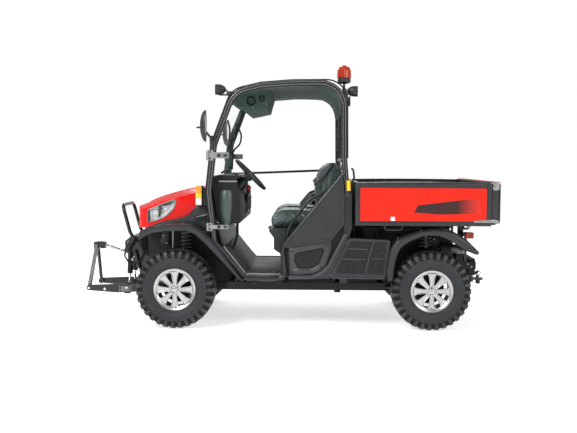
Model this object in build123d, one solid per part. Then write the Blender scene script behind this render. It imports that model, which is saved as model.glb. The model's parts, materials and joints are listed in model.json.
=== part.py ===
from build123d import *
import math
import os

# Side by side utility vehicle: two seats under a bolted cab frame, a tipping load bed behind and a
# small lifting linkage in front.  Millimetres.  +X points to the rear, -Y is the driver's side, +Z is
# up, and the origin is on the ground below the middle of the whole vehicle.

# ---------------------------------------------------------------- driving sizes: running gear
WHEELBASE = 2005
FRONT_AXLE_X = -850
REAR_AXLE_X = FRONT_AXLE_X + WHEELBASE
HALF_TRACK = 625
TYRE_R = 311
TYRE_WIDTH = 254
AXLE_Z = TYRE_R
RIM_SEAT_R = 152
RIM_FLANGE_R = 165
RIM_WIDTH = 205
RIM_WALL = 5
RIM_FACE_THICK = 16
TREAD_DEPTH = 13
TREAD_LUGS = 31         # shoulder lugs round each side of a tyre
LUG_SHARE = 0.56        # how much of its pitch a lug fills
CROWN_HALF = 45         # half width of the band between the two rows of lugs
SPOKES = 8
HUB_R = 50
SPINDLE_R = 20
RUNNING = 0.1           # radial clearance of a pin or shaft in its bore
SIDE_PLAY = 0.4         # sideways clearance of an eye between its plates

# ---------------------------------------------------------------- driving sizes: steering
KINGPIN_Y = HALF_TRACK - 80
KINGPIN_R = 12
LOWER_EYE_Z = 205
UPPER_EYE_Z = 425
EYE_HEIGHT = 30
EYE_R = 20
STEER_ARM_REACH = 90    # tie rod eye ahead of the kingpin
TIE_ROD_R = 8
TIE_EYE_HALF = 10
TIE_ROD_Z = 317
WHEEL_HUB_X = -283      # steering wheel centre
WHEEL_HUB_Z = 1207
DRIVER_Y = 330
STEERING_WHEEL_R = 172
STEERING_RIM_R = 14
WHEEL_HUB_DEPTH = 44

# ---------------------------------------------------------------- driving sizes: cab
SEAT_WIDTH = 470
SEAT_EDGE = 5           # the seat box stands out past the cushions
POST_FOOT_WIDTH = 80    # the uprights between the seat box and the cab's skin
SEAT_HALF = DRIVER_Y + SEAT_WIDTH / 2 + SEAT_EDGE
CAB_Y = SEAT_HALF + POST_FOOT_WIDTH + 30    # side loop centre line
LOOP_R = 24
DOOR_Y = CAB_Y + 10
DOOR_TUBE_R = 20
PANEL_Y = CAB_Y + 20    # outer skin of the side panels starts here
PANEL_THICK = 22
FLOOR_Z = 420
FLOOR_THICK = 12
FLOOR_HALF = CAB_Y - 40
REAR_WALL_X = 500
REAR_WALL_THICK = 20
REAR_WALL_TOP_Z = 1096
REAR_GLASS_TOP_Z = 1858
GLASS_THICK = 6
ROOF_HALF = CAB_Y - 18
FENDER_Y = HALF_TRACK + 135
FENDER_INNER_Y = HALF_TRACK - 125

# ---------------------------------------------------------------- driving sizes: chassis
RAIL_Y = 180            # inner face of the lower rails
RAIL_WALL = 50
RAIL_Z = 240
RAIL_HEIGHT = 60
RAIL_FRONT_X = FRONT_AXLE_X - 190
RAIL_REAR_X = REAR_AXLE_X - 255
REAR_RAIL_Y = 300
REAR_RAIL_Z = 440
REAR_RAIL_X = REAR_WALL_X - 40
CHASSIS_END_X = REAR_AXLE_X + 413
SILL_Y = CAB_Y - 100
SILL_WIDTH = 40
SILL_Z = 310
SILL_HEIGHT = 50
SILL_FRONT_X = -445
SILL_REAR_X = REAR_AXLE_X - 352

# ---------------------------------------------------------------- driving sizes: load bed
BED_FRONT_X = REAR_WALL_X + 57
BED_REAR_X = REAR_AXLE_X + 444
BED_HALF = 740
BED_Z = 822
BED_TOP_Z = 1155
BED_FLOOR = 28
BED_WALL = 36
BED_RAIL = 42
BED_PIVOT_X = REAR_AXLE_X + 285
BED_PIVOT_Z = 790
BED_PIN_R = 12
TAILGATE_THICK = 58
TAILGATE_GAP = 6
TAILGATE_PIN_R = 7

# ---------------------------------------------------------------- driving sizes: front linkage
LINK_PIVOT_X = -1080
LINK_PIVOT_Z = 250
LINK_TIP_X = -1655
LINK_TIP_Z = 245
LINK_ARM_Y = 220
LINK_ARM_WIDTH = 22
LINK_PIN_R = 12


# ---------------------------------------------------------------- shape helpers
def block(x, y, z):
    """A rectangular block between pairs of X, Y and Z values."""
    size = Box(x[1] - x[0], y[1] - y[0], z[1] - z[0])
    return Pos((x[0] + x[1]) / 2, (y[0] + y[1]) / 2, (z[0] + z[1]) / 2) * size


def rod(start, end, radius):
    """A round bar from one point to another."""
    run = Vector(*end) - Vector(*start)
    return Solid.make_cylinder(radius, run.length, Plane(origin=start, z_dir=run))


def cross_pin(x, z, y, radius):
    """A round bar along Y."""
    return rod((x, y[0], z), (x, y[1], z), radius)


def corner_radii(points, largest, closed=False):
    """The bend radius at each corner, limited by the shorter run beside it."""
    count = len(points)
    corners = range(count) if closed else range(1, count - 1)
    radii = []
    for corner in corners:
        here = Vector(*points[corner])
        before = here - Vector(*points[corner - 1])
        after = Vector(*points[(corner + 1) % count]) - here
        half_turn = math.radians(before.get_angle(after)) / 2
        room = 0.45 * min(before.length, after.length) / math.tan(half_turn)
        radii.append(min(largest, room))
    return radii


def pipe(points, radius, bend):
    """A round bar bent along straight runs joined by arcs."""
    path = FilletPolyline(*points, radius=corner_radii(points, bend))
    section = Plane(origin=path @ 0, z_dir=path % 0) * Circle(radius)
    return sweep(section, path=path)


def slab(outline, y, corner=0):
    """A plate with an X-Z outline between two Y values, its corners rounded."""
    points = [(x, y[0], z) for x, z in outline]
    if corner:
        loop = FilletPolyline(*points, radius=corner_radii(points, corner, True), close=True)
    else:
        loop = Polyline(*points, close=True)
    return extrude(Face(Wire(loop.edges())), amount=y[1] - y[0], dir=(0, 1, 0))


def mirrored(shape):
    """The same shape on the passenger's side."""
    return shape.mirror(Plane.XZ)


def both(*shapes):
    """The driver's side shapes and their mirror images."""
    return [*shapes, *[mirrored(shape) for shape in shapes]]


def fused(*shapes):
    """One shape from several that meet."""
    whole = shapes[0]
    for shape in shapes[1:]:
        whole = whole + shape
    return whole


def cut(shape, *tools):
    """A shape with others taken out of it."""
    for tool in tools:
        shape = shape - tool
    return shape


def write(node, shapes):
    """One STEP file for a node, holding each of its solids."""
    solids = []
    for shape in shapes:
        solids.extend(shape.solids())
    export_step(Compound(children=solids), f"parts/{node}.step")


os.makedirs("parts", exist_ok=True)

# ================================================================ wheels
TYRE_Y = (-HALF_TRACK - TYRE_WIDTH / 2, -HALF_TRACK + TYRE_WIDTH / 2)
RIM_Y = (-HALF_TRACK - RIM_WIDTH / 2 - 8, -HALF_TRACK + RIM_WIDTH / 2 - 8)
BEAD_DEPTH = (30, 46)   # how far the outer and inner beads lie in from the tyre's faces
LUG_PITCH = 2 * math.pi / TREAD_LUGS
CROWN_DEPTH = TYRE_WIDTH / 2 - CROWN_HALF
# Columns: radius, distance in from the tyre's face.
TYRE_WALL = [(TYRE_R - 95, 0), (TYRE_R - 50, 4), (TYRE_R - TREAD_DEPTH, CROWN_DEPTH)]
LUG_SECTION = [(TYRE_R - 50, 4), (TYRE_R - 8, 18), (TYRE_R, 44), (TYRE_R, CROWN_DEPTH),
               (TYRE_R - TREAD_DEPTH, CROWN_DEPTH)]


def tread_strip(section, x):
    """A straight strip over the axle with a (radius, Y) section; its ends lie at the section's radii."""
    points = [(x[0], y, radius * math.cos(LUG_PITCH / 2)) for radius, y in section]
    return extrude(Face(Wire(Polyline(*points, close=True).edges())), amount=x[1] - x[0], dir=(1, 0, 0))


def tyre_pitch():
    """One pitch of a tyre over the origin: the carcass with an outer and an inner shoulder lug."""
    outer, inner = TYRE_Y
    near = [(RIM_SEAT_R, outer + BEAD_DEPTH[0]), *[(radius, outer + depth) for radius, depth in TYRE_WALL]]
    far = [(RIM_SEAT_R, inner - BEAD_DEPTH[1]), *[(radius, inner - depth) for radius, depth in TYRE_WALL]]
    half = TYRE_R * math.sin(LUG_PITCH / 2)
    length = 2 * half * LUG_SHARE
    lugs = [tread_strip([(radius, outer + depth) for radius, depth in LUG_SECTION], (-half, length - half)),
            tread_strip([(radius, inner - depth) for radius, depth in LUG_SECTION], (half - length, half))]
    wedge_half = TYRE_R * math.tan(LUG_PITCH / 2)
    wedge = Polyline((0, outer, 0), (-wedge_half, outer, TYRE_R), (wedge_half, outer, TYRE_R), close=True)
    sector = extrude(Face(Wire(wedge.edges())), amount=TYRE_WIDTH, dir=(0, 1, 0))
    return fused(tread_strip([*near, *reversed(far)], (-half, half)), *lugs) & sector


def tyre():
    """The front tyre of the driver's side, standing on an edge between two pitches."""
    centre = Axis((0, 0, 0), (0, 1, 0))
    first = tyre_pitch().solid().rotate(centre, 180 + 180 / TREAD_LUGS)
    turns = [first.rotate(centre, number * 360 / TREAD_LUGS) for number in range(1, TREAD_LUGS)]
    return Pos(FRONT_AXLE_X, 0, AXLE_Z) * first.fuse(*turns)


def rim(axle_x, carcass):
    """A spoked alloy wheel of the driver's side, open towards the axle, seated in its tyre."""
    outer, inner = RIM_Y
    barrel = cross_pin(axle_x, AXLE_Z, (outer, inner), RIM_FLANGE_R)
    barrel = cut(barrel, cross_pin(axle_x, AXLE_Z, (outer, inner), RIM_SEAT_R - RIM_WALL), carcass)
    hub = cross_pin(axle_x, AXLE_Z, (outer + 6, outer + 62), HUB_R)
    arm_half = (13, 22)
    face_y = (outer + 14, outer + 14 + RIM_FACE_THICK)
    reach = RIM_SEAT_R - RIM_WALL + 2
    spoke_outline = [
        (axle_x + HUB_R - 12, AXLE_Z - arm_half[0]), (axle_x + reach, AXLE_Z - arm_half[1]),
        (axle_x + reach, AXLE_Z + arm_half[1]), (axle_x + HUB_R - 12, AXLE_Z + arm_half[0]),
    ]
    spoke = slab(spoke_outline, face_y)
    centre = Axis((axle_x, 0, AXLE_Z), (0, 1, 0))
    wheel = barrel + hub
    for number in range(SPOKES):
        wheel = wheel + spoke.rotate(centre, (number + 0.5) * 360 / SPOKES)
    bore = cross_pin(axle_x, AXLE_Z, (outer + 20, outer + 70), SPINDLE_R + RUNNING)
    return cut(wheel, bore)


def wheels():
    """Four tyres on four rims, all from the front left ones."""
    front_tyre = tyre()
    front_rim = rim(FRONT_AXLE_X, front_tyre)
    for place, shift in (("front", 0), ("rear", WHEELBASE)):
        left_tyre, left_rim = Pos(shift, 0, 0) * front_tyre, Pos(shift, 0, 0) * front_rim
        write(f"tyre_{place}_left", [left_tyre])
        write(f"rim_{place}_left", [left_rim])
        write(f"tyre_{place}_right", [mirrored(left_tyre)])
        write(f"rim_{place}_right", [mirrored(left_rim)])


SPINDLE_END_Y = RIM_Y[0] + 20 + SIDE_PLAY
SHIELD_Y = (-580, -572)
SHIELD_R = 118


def knuckle():
    """The driver's side steering knuckle: kingpin, upright, spindle, dust shield and steering arm."""
    upright = block((FRONT_AXLE_X - 16, FRONT_AXLE_X + 16), (-KINGPIN_Y - 18, -KINGPIN_Y + 18),
                    (LOWER_EYE_Z + EYE_HEIGHT / 2 + 2, UPPER_EYE_Z - EYE_HEIGHT / 2 - 2))
    kingpin = rod((FRONT_AXLE_X, -KINGPIN_Y, LOWER_EYE_Z - EYE_HEIGHT / 2 - 4),
                  (FRONT_AXLE_X, -KINGPIN_Y, UPPER_EYE_Z + EYE_HEIGHT / 2 + 4), KINGPIN_R)
    spindle = cross_pin(FRONT_AXLE_X, AXLE_Z, (SPINDLE_END_Y, -KINGPIN_Y), SPINDLE_R)
    shield = cross_pin(FRONT_AXLE_X, AXLE_Z, SHIELD_Y, SHIELD_R)
    arm_z = TIE_ROD_Z - TIE_EYE_HALF - SIDE_PLAY
    arm = block((FRONT_AXLE_X - STEER_ARM_REACH - 14, FRONT_AXLE_X - 10), (-KINGPIN_Y + 6, -KINGPIN_Y + 44),
                (arm_z - 12, arm_z))
    return fused(upright, kingpin, spindle, shield, arm)


def tie_rod_bar():
    """The steering rack's bar, which slides across the vehicle between the two steering arms."""
    x = FRONT_AXLE_X - STEER_ARM_REACH
    end = KINGPIN_Y - 25
    bar = cross_pin(x, TIE_ROD_Z, (-end, end), TIE_ROD_R)
    eyes = [rod((x, y, TIE_ROD_Z - TIE_EYE_HALF), (x, y, TIE_ROD_Z + TIE_EYE_HALF), 14) for y in (-end, end)]
    return fused(bar, *eyes)


def steering_wheel():
    """A three-spoke wheel on the tilted column."""
    tilt = Plane(origin=(WHEEL_HUB_X, -DRIVER_Y, WHEEL_HUB_Z), z_dir=(1, 0, 1))
    ring = tilt * Torus(STEERING_WHEEL_R - STEERING_RIM_R, STEERING_RIM_R)
    hub = tilt * Pos(0, 0, -WHEEL_HUB_DEPTH / 2) * Cylinder(38, WHEEL_HUB_DEPTH)
    spokes = []
    for angle in (0, 90, 180):
        spokes.append(tilt * Rot(0, 0, angle + 90) * Pos(STEERING_WHEEL_R / 2, 0, -8)
                      * Box(STEERING_WHEEL_R - STEERING_RIM_R, 26, 10))
    return fused(ring, hub, *spokes)


# ================================================================ chassis
STRUT_X = FRONT_AXLE_X + 45
STRUT_Y = 380
STRUT_TOP_Z = 762
ARM_SPREAD = 72
ARM_INNER_Y = 250
ARM_TUBE_R = 12
SHOCK_Y = 430
SHOCK_TOP_Z = 600
AXLE_TUBE_R = 40
TRAILING_LINK_R = 16
DIFF_R = 105            # round gear case in the middle of the rear axle
DAMPER_R = 15
DUMP_X = REAR_AXLE_X - 225
DUMP_Z = 470
DUMP_EYE_X = REAR_AXLE_X - 35
DUMP_EYE_Z = BED_PIVOT_Z
DUMP_EYE_R = 20
DUMP_EYE_HALF = 16
DUMP_PIN_R = 10
TOWER_Y = 188
TOWER_WALL = 12
TOP_LINK_X = -1290
TOP_LINK_Z = 483
TOP_LINK_TIP_X = -1581
TOP_LINK_TIP_Z = 595
TOP_EYE_HALF = 15.5
LIFT_X = -1320
LIFT_TOP_Z = 630
LIFT_Y = 110
LIFT_FOOT_X = -1335
LIFT_FOOT_Z = 250
LIFT_ROD_R = 10
LIFT_BARREL = 275       # length of a lift cylinder's barrel
LIFT_BARREL_R = 23
LIFT_EYE_HALF = 11
BED_POST_X = (BED_PIVOT_X - 20, BED_PIVOT_X + 20)
BED_POST_TOP = 16       # height of the bed's posts over their pin, which the tipped floor clears
REAR_RAIL_SPAN = (REAR_RAIL_Y, REAR_RAIL_Y + RAIL_WALL)
RAIL_SPAN = (RAIL_Y, RAIL_Y + RAIL_WALL)


def near_block(x, y, z):
    """A block of the driver's side, its Y values given as distances from the middle."""
    return block(x, (-y[1], -y[0]), z)


RAIL_TOP_Z = RAIL_Z + RAIL_HEIGHT
REAR_RAIL_TOP_Z = REAR_RAIL_Z + RAIL_HEIGHT
OUTRIGGER = 40          # width and height of the bars between rails and sills
TOWER_SHELF = 26        # thickness of the shelf over a strut or shock absorber


def chassis_frame():
    """The lower rails with their front cross member and the strut towers."""
    post_y = (RAIL_Y + 20, ARM_INNER_Y)
    tower_x = (FRONT_AXLE_X + 22, FRONT_AXLE_X + 68)
    shelf_z = (STRUT_TOP_Z, STRUT_TOP_Z + TOWER_SHELF)
    half = [
        near_block((RAIL_FRONT_X, RAIL_REAR_X), RAIL_SPAN, (RAIL_Z, RAIL_TOP_Z)),
        near_block((tower_x[0], tower_x[1] + 20), post_y, (LOWER_EYE_Z - 15, shelf_z[1])),
        near_block(tower_x, (post_y[0], STRUT_Y + 40), shelf_z),
        near_block((FRONT_AXLE_X - 76, FRONT_AXLE_X - 46), post_y, (LOWER_EYE_Z - 15, UPPER_EYE_Z + 20)),
    ]
    nose = block((RAIL_FRONT_X, RAIL_FRONT_X + 60), (-RAIL_Y - 20, RAIL_Y + 20), (RAIL_Z, RAIL_TOP_Z))
    bridge = block(tower_x, (-post_y[0] - 20, post_y[0] + 20), (shelf_z[0] - 14, shelf_z[1]))
    return fused(nose, bridge, *both(*half))


def rear_frame(lower):
    """The raised rear rails with the cross members, shock towers, bed posts and receiver."""
    foot_x = (SILL_REAR_X - OUTRIGGER - 5, SILL_REAR_X - 5)
    axle_x = (REAR_AXLE_X - 25, REAR_AXLE_X + 25)
    half = [
        near_block((REAR_RAIL_X, CHASSIS_END_X), REAR_RAIL_SPAN, (REAR_RAIL_Z, REAR_RAIL_TOP_Z)),
        near_block((REAR_RAIL_X - 50, REAR_RAIL_X), (RAIL_Y, REAR_RAIL_SPAN[1]), (RAIL_Z, REAR_RAIL_TOP_Z)),
        near_block(BED_POST_X, REAR_RAIL_SPAN, (REAR_RAIL_TOP_Z, BED_PIVOT_Z + BED_POST_TOP)),
        near_block(axle_x, (REAR_RAIL_Y, SHOCK_Y + 30), (SHOCK_TOP_Z, SHOCK_TOP_Z + TOWER_SHELF)),
        near_block(axle_x, REAR_RAIL_SPAN, (REAR_RAIL_TOP_Z, SHOCK_TOP_Z)),
        near_block((BED_FRONT_X + 20, BED_FRONT_X + 60), REAR_RAIL_SPAN, (REAR_RAIL_TOP_Z, BED_Z - 12)),
        near_block(foot_x, REAR_RAIL_SPAN, (SILL_Z, REAR_RAIL_Z)),
        near_block((DUMP_X - 22, DUMP_X + 22), (DUMP_EYE_HALF + SIDE_PLAY, DUMP_EYE_HALF + 10),
                   (REAR_RAIL_Z + 1, DUMP_Z + 20)),
    ]
    across = (-REAR_RAIL_Y - 20, REAR_RAIL_Y + 20)
    middle = [
        block((CHASSIS_END_X - 50, CHASSIS_END_X), across, (REAR_RAIL_Z - 55, REAR_RAIL_TOP_Z + 21)),
        block((DUMP_X - 30, DUMP_X + 30), across, (REAR_RAIL_Z - 15, DUMP_Z - 24)),
        block(BED_POST_X, across, (REAR_RAIL_Z, REAR_RAIL_TOP_Z)),
        cross_pin(DUMP_X, DUMP_Z, (-30, 30), DUMP_PIN_R),
    ]
    bed_pin = cross_pin(BED_PIVOT_X, BED_PIVOT_Z, (-REAR_RAIL_SPAN[1] - 34, -REAR_RAIL_Y), BED_PIN_R)
    return cut(fused(*middle, *both(*half, bed_pin)) + receiver(), lower)


def side_sills(*frames):
    """The side sills with their outriggers and the stubs that carry the door frames' feet."""
    stub_z = (SILL_Z + 35, FLOOR_Z - 28)
    sill_y = (SILL_Y, SILL_Y + SILL_WIDTH)
    half = [near_block((SILL_FRONT_X, SILL_REAR_X), sill_y, (SILL_Z, SILL_Z + SILL_HEIGHT))]
    for x in (-250, -50):
        half.append(near_block((x, x + OUTRIGGER), (SILL_Y + SILL_WIDTH - 5, DOOR_Y), stub_z))
    for x in (SILL_FRONT_X, 10, REAR_RAIL_X - 50):
        half.append(near_block((x, x + OUTRIGGER), (RAIL_Y, SILL_Y + 5), (SILL_Z - 10, SILL_Z + 40)))
    for x in (REAR_RAIL_X - 50, SILL_REAR_X - OUTRIGGER - 5):
        half.append(near_block((x, x + OUTRIGGER), (REAR_RAIL_Y, SILL_Y + SILL_WIDTH), (SILL_Z, SILL_Z + 40)))
    return both(cut(fused(*half), *frames))


def rack_housing(chassis):
    """The steering rack's housing between the lower rails."""
    x = FRONT_AXLE_X - STEER_ARM_REACH
    body = block((x - 26, x + 26), (-RAIL_Y, RAIL_Y), (TIE_ROD_Z - 24, TIE_ROD_Z + 24))
    feet = block((x - 26, x + 26), (-RAIL_Y - 30, RAIL_Y + 30), (RAIL_Z + RAIL_HEIGHT, TIE_ROD_Z + 24))
    tunnel = cross_pin(x, TIE_ROD_Z, (-RAIL_Y - 40, RAIL_Y + 40), TIE_ROD_R + RUNNING)
    return cut(body + feet, tunnel, chassis)


def front_suspension(chassis):
    """Upper and lower wishbones, each two tubes and a kingpin eye."""
    pieces = []
    pivot = (FRONT_AXLE_X, -KINGPIN_Y)
    for z in (LOWER_EYE_Z, UPPER_EYE_Z):
        eye = rod((*pivot, z - EYE_HEIGHT / 2), (*pivot, z + EYE_HEIGHT / 2), EYE_R)
        legs = []
        for side in (-1, 1):
            inner_end = (FRONT_AXLE_X + side * ARM_SPREAD, -ARM_INNER_Y + 4, z)
            legs.append(rod(inner_end, (*pivot, z), ARM_TUBE_R))
        bore = rod((*pivot, z - EYE_HEIGHT), (*pivot, z + EYE_HEIGHT), KINGPIN_R + RUNNING)
        pieces.append(cut(fused(eye, *legs), bore, chassis))
    return both(*pieces)


def coil_over(x, y, bottom, top, spring_r):
    """A damper with its spring as one sleeve, between two heights."""
    length = top - bottom
    damper = rod((x, y, bottom), (x, y, top), DAMPER_R)
    spring = rod((x, y, bottom + 0.28 * length), (x, y, top - 14), spring_r)
    return damper + spring


def front_struts(chassis, wishbones):
    """Two coil-over struts from the lower wishbones to the towers."""
    strut = coil_over(STRUT_X, -STRUT_Y, LOWER_EYE_Z + 2, STRUT_TOP_Z, 38)
    return both(cut(strut, chassis, *wishbones))


def rear_axle():
    """Beam axle with its gear case, dust shields and wheel spindles."""
    beam = cross_pin(REAR_AXLE_X, AXLE_Z, (-500, 500), AXLE_TUBE_R)
    case = Pos(REAR_AXLE_X, 0, AXLE_Z) * Sphere(DIFF_R)
    spindles = both(cross_pin(REAR_AXLE_X, AXLE_Z, (SPINDLE_END_Y, -480), SPINDLE_R),
                    cross_pin(REAR_AXLE_X, AXLE_Z, SHIELD_Y, SHIELD_R))
    return fused(beam, case, *spindles)


def rear_links(chassis, axle):
    """Two trailing links from the axle beam to the lower rear corner of the frame."""
    front = (REAR_RAIL_X - 10, -REAR_RAIL_Y - 30, RAIL_TOP_Z)
    rear = (REAR_AXLE_X - 20, -SHOCK_Y + 30, AXLE_Z - 20)
    return both(cut(rod(front, rear, TRAILING_LINK_R), chassis, axle))


def rear_shocks(chassis, axle):
    """Two coil-over shock absorbers on the axle beam."""
    shock = coil_over(REAR_AXLE_X, -SHOCK_Y, AXLE_Z + AXLE_TUBE_R - 8, SHOCK_TOP_Z, 36)
    return both(cut(shock, chassis, axle))


ENGINE_X = (REAR_WALL_X + 20, REAR_AXLE_X - 275)
ENGINE_TOP_Z = 640
GEARBOX_END_X = REAR_AXLE_X - 115
GEARBOX_HALF = 150


def engine_block(chassis):
    """Engine and gearbox as one plain block on the lower rails."""
    engine = block(ENGINE_X, (-RAIL_SPAN[1], RAIL_SPAN[1]), (RAIL_TOP_Z, ENGINE_TOP_Z))
    gearbox = block((ENGINE_X[1] - 10, GEARBOX_END_X), (-GEARBOX_HALF, GEARBOX_HALF),
                    (RAIL_Z + 10, REAR_RAIL_Z - 20))
    return cut(engine + gearbox, chassis)


MUFFLER_X = (REAR_AXLE_X + 105, REAR_AXLE_X + 285)
MUFFLER_Y = 438
MUFFLER_Z = 618
MUFFLER_R = 36


def muffler(chassis):
    """Exhaust silencer along the driver's side rear rail, on two straps."""
    front, rear = MUFFLER_X
    can = rod((front, -MUFFLER_Y, MUFFLER_Z), (rear, -MUFFLER_Y, MUFFLER_Z), MUFFLER_R)
    tail = rod((rear - 5, -MUFFLER_Y, MUFFLER_Z), (rear + 60, -MUFFLER_Y, MUFFLER_Z - 10), 16)
    straps = [near_block((x, x + 14), (REAR_RAIL_Y + 10, MUFFLER_Y + 4), (MUFFLER_Z - 130, MUFFLER_Z))
              for x in (front + 30, rear - 50)]
    return cut(fused(can, tail, *straps), chassis)


# ================================================================ cab shell
LOOP = [(-540, 676), (-585, 1080), (-545, 1440), (-392, 1848), (-180, 1899), (60, 1918),
        (462, 1922), (468, 1340), (492, 1040)]
DOOR_FRAME = [(-549, 690), (-300, 400), (20, 400), (-10, 640), (466, 1222)]


def cab_loops():
    """The two side loops: windscreen post, roof rail and rear post in one bent tube."""
    return both(pipe([(x, -CAB_Y, z) for x, z in LOOP], LOOP_R, 190))


def door_frames(loops):
    """The tube round the foot of each door opening."""
    frame = pipe([(x, -DOOR_Y, z) for x, z in DOOR_FRAME], DOOR_TUBE_R, 60)
    return both(cut(frame, *loops))


def cross_tubes(loops):
    """Tubes that join the two loops over the windscreen, at its foot and behind the seats."""
    places = [(-400, 1836), (-566, 1180), (466, 1850), (474, 1330)]
    return [cut(cross_pin(x, z, (-CAB_Y, CAB_Y), 17), *loops) for x, z in places]


ROOF = [(-372, 1866), (-180, 1912), (60, 1934), (330, 1926), (440, 1880), (440, 1862), (330, 1898),
        (60, 1906), (-180, 1886), (-372, 1850)]


def roof_panel(*neighbours):
    """The roof skin with its rim, between the loops."""
    return cut(slab(ROOF, (-ROOF_HALF, ROOF_HALF)), *neighbours)


CONSOLE = [(-440, 1784), (-372, 1842), (-275, 1868), (-193, 1884), (-110, 1880), (-149, 1738),
           (-312, 1703), (-398, 1771)]


def overhead_console(*neighbours):
    """The grey-green air duct under the front of the roof."""
    return cut(slab(CONSOLE, (-430, 430)), *neighbours)


def windscreen(*neighbours):
    """Front glass between the posts."""
    outline = [(-584, 1200), (-548, 1446), (-420, 1812), (-420 + GLASS_THICK, 1812),
               (-548 + GLASS_THICK, 1444), (-584 + GLASS_THICK, 1200)]
    return cut(slab(outline, (-CAB_Y + 4, CAB_Y - 4)), *neighbours)


def rear_wall(*neighbours):
    """The panel behind the seats, from the floor to the rear window."""
    half = CAB_Y - 30
    panel = block((REAR_WALL_X - REAR_WALL_THICK, REAR_WALL_X), (-half, half), (FLOOR_Z + 4, REAR_WALL_TOP_Z))
    return cut(panel, *neighbours)


def rear_window(*neighbours):
    """Rear glass between the rear posts."""
    x = REAR_WALL_X - 34
    half = CAB_Y - 4
    return cut(block((x, x + GLASS_THICK), (-half, half), (REAR_WALL_TOP_Z, REAR_GLASS_TOP_Z)), *neighbours)


POST_BOX = [(470, 1072), (529, 1073), (532, 800), (509, 722), (470, 722)]


def post_boxes(*neighbours):
    """The black box sections at the foot of the rear posts."""
    return both(cut(slab(POST_BOX, (-PANEL_Y, -CAB_Y + 30), 8), *neighbours))


def post_feet(*neighbours):
    """Uprights that carry the rear posts and the bulkhead on the sills."""
    foot = near_block((REAR_WALL_X - 60, REAR_WALL_X), (SEAT_HALF, SEAT_HALF + POST_FOOT_WIDTH),
                      (SILL_Z + SILL_HEIGHT, 1040))
    return both(cut(foot, *neighbours))


FLOOR = [(60, FLOOR_Z), (-293, FLOOR_Z), (-470, 640), (-520, 816), (-532, 812),
         (-481, 634), (-299, FLOOR_Z - FLOOR_THICK), (60, FLOOR_Z - FLOOR_THICK)]


def floor_pan(*neighbours):
    """Foot well floor, toe board and the strip down to the sills."""
    pan = slab(FLOOR, (-FLOOR_HALF, FLOOR_HALF))
    stands = both(near_block((-230, -60), (SILL_Y, SILL_Y + SILL_WIDTH), (SILL_Z + SILL_HEIGHT, FLOOR_Z - 6)))
    return cut(fused(pan, *stands), *neighbours)


DASH = [(-572, 1188), (-520, 1206), (-369, 1203), (-385, 1162), (-344, 1040), (-344, 825), (-517, 816),
        (-560, 1063)]
DASH_HALF = 600


def dashboard(*neighbours):
    """The dash moulding across the cab."""
    return cut(slab(DASH, (-DASH_HALF, DASH_HALF), 14), *neighbours)


def steering_column(*neighbours):
    """The tilted column that carries the steering wheel."""
    reach = (WHEEL_HUB_DEPTH + RUNNING * 3) / math.sqrt(2)
    start = (WHEEL_HUB_X - reach, -DRIVER_Y, WHEEL_HUB_Z - reach)
    end = (WHEEL_HUB_X - 190, -DRIVER_Y, WHEEL_HUB_Z - 190)
    return cut(rod(start, end, 27), *neighbours)


def pedals(*neighbours):
    """Two pedals on arms and a range lever beside them."""
    pieces = []
    for y in (-DRIVER_Y + 30, -DRIVER_Y + 150):
        arm = pipe([(-400, y, 835), (-400, y, 700), (-425, y, 610)], 7, 60)
        pad = slab([(-432, 600), (-402, 640), (-396, 634), (-424, 592)], (y - 32, y + 32))
        pieces.append(cut(arm + pad, *neighbours))
    return pieces


def control_levers(*neighbours):
    """Parking brake, range and hydraulic levers with round knobs, on the dash."""
    pieces = []
    for x, y, z, lean in ((-457, -140, 1140, -10), (-313, -120, 1090, 28), (-318, -60, 1060, 30)):
        stick = rod((x - lean, y, z - 90), (x, y, z), 6)
        knob = Pos(x, y, z) * Sphere(19)
        pieces.append(cut(stick + knob, *neighbours))
    return pieces


COWL = [(-612, 800), (-572, 800), (-574, 1198), (-596, 1198), (-612, 1096)]
COWL_HALF = 560


def cowl(*neighbours):
    """The black scuttle between the hood and the windscreen."""
    return cut(slab(COWL, (-COWL_HALF, COWL_HALF), 10), *neighbours)


SEAT_FRONT_X = -116
SEAT_TOP_Z = 920
SEAT_BOTTOM_Z = 784
SEAT_REST = 0.3         # gap under a soft cushion
WALL_FACE_X = REAR_WALL_X - REAR_WALL_THICK
SEAT_BASE = [(-124, 765), (-112, SEAT_BOTTOM_Z - SEAT_REST), (WALL_FACE_X, SEAT_BOTTOM_Z - SEAT_REST),
             (WALL_FACE_X, 510), (REAR_RAIL_X - 60, 510), (REAR_RAIL_X - 60, FLOOR_Z), (12, FLOOR_Z),
             (-7, 483), (-32, 583), (-82, 616), (-82, 707)]


def seat_base(*neighbours):
    """The moulded box under both seats."""
    return cut(slab(SEAT_BASE, (-SEAT_HALF, SEAT_HALF), 12), *neighbours)


def seat_cushions():
    """Two seat cushions."""
    y = (-DRIVER_Y - SEAT_WIDTH / 2, -DRIVER_Y + SEAT_WIDTH / 2)
    outline = [(SEAT_FRONT_X, SEAT_BOTTOM_Z), (SEAT_FRONT_X - 4, 880), (SEAT_FRONT_X + 40, SEAT_TOP_Z + 6),
               (250, SEAT_TOP_Z - 12), (330, SEAT_TOP_Z - 14), (330, SEAT_BOTTOM_Z)]
    return both(slab(outline, y, 30))


SEAT_BACK = [(262, 890), (250, 1030), (254, 1147), (322, 1300), (362, 1326), (434, 1321), (446, 1290),
             (440, 870), (300, 870)]


def seat_backs(*neighbours):
    """Two seat backs."""
    y = (-DRIVER_Y - SEAT_WIDTH / 2, -DRIVER_Y + SEAT_WIDTH / 2)
    return [cut(piece, *neighbours) for piece in both(slab(SEAT_BACK, y, 26))]


HIP_HOOP = [(14, 620), (33, 778), (103, 897), (204, 1023), (330, 1074), (WALL_FACE_X, 1074)]


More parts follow.
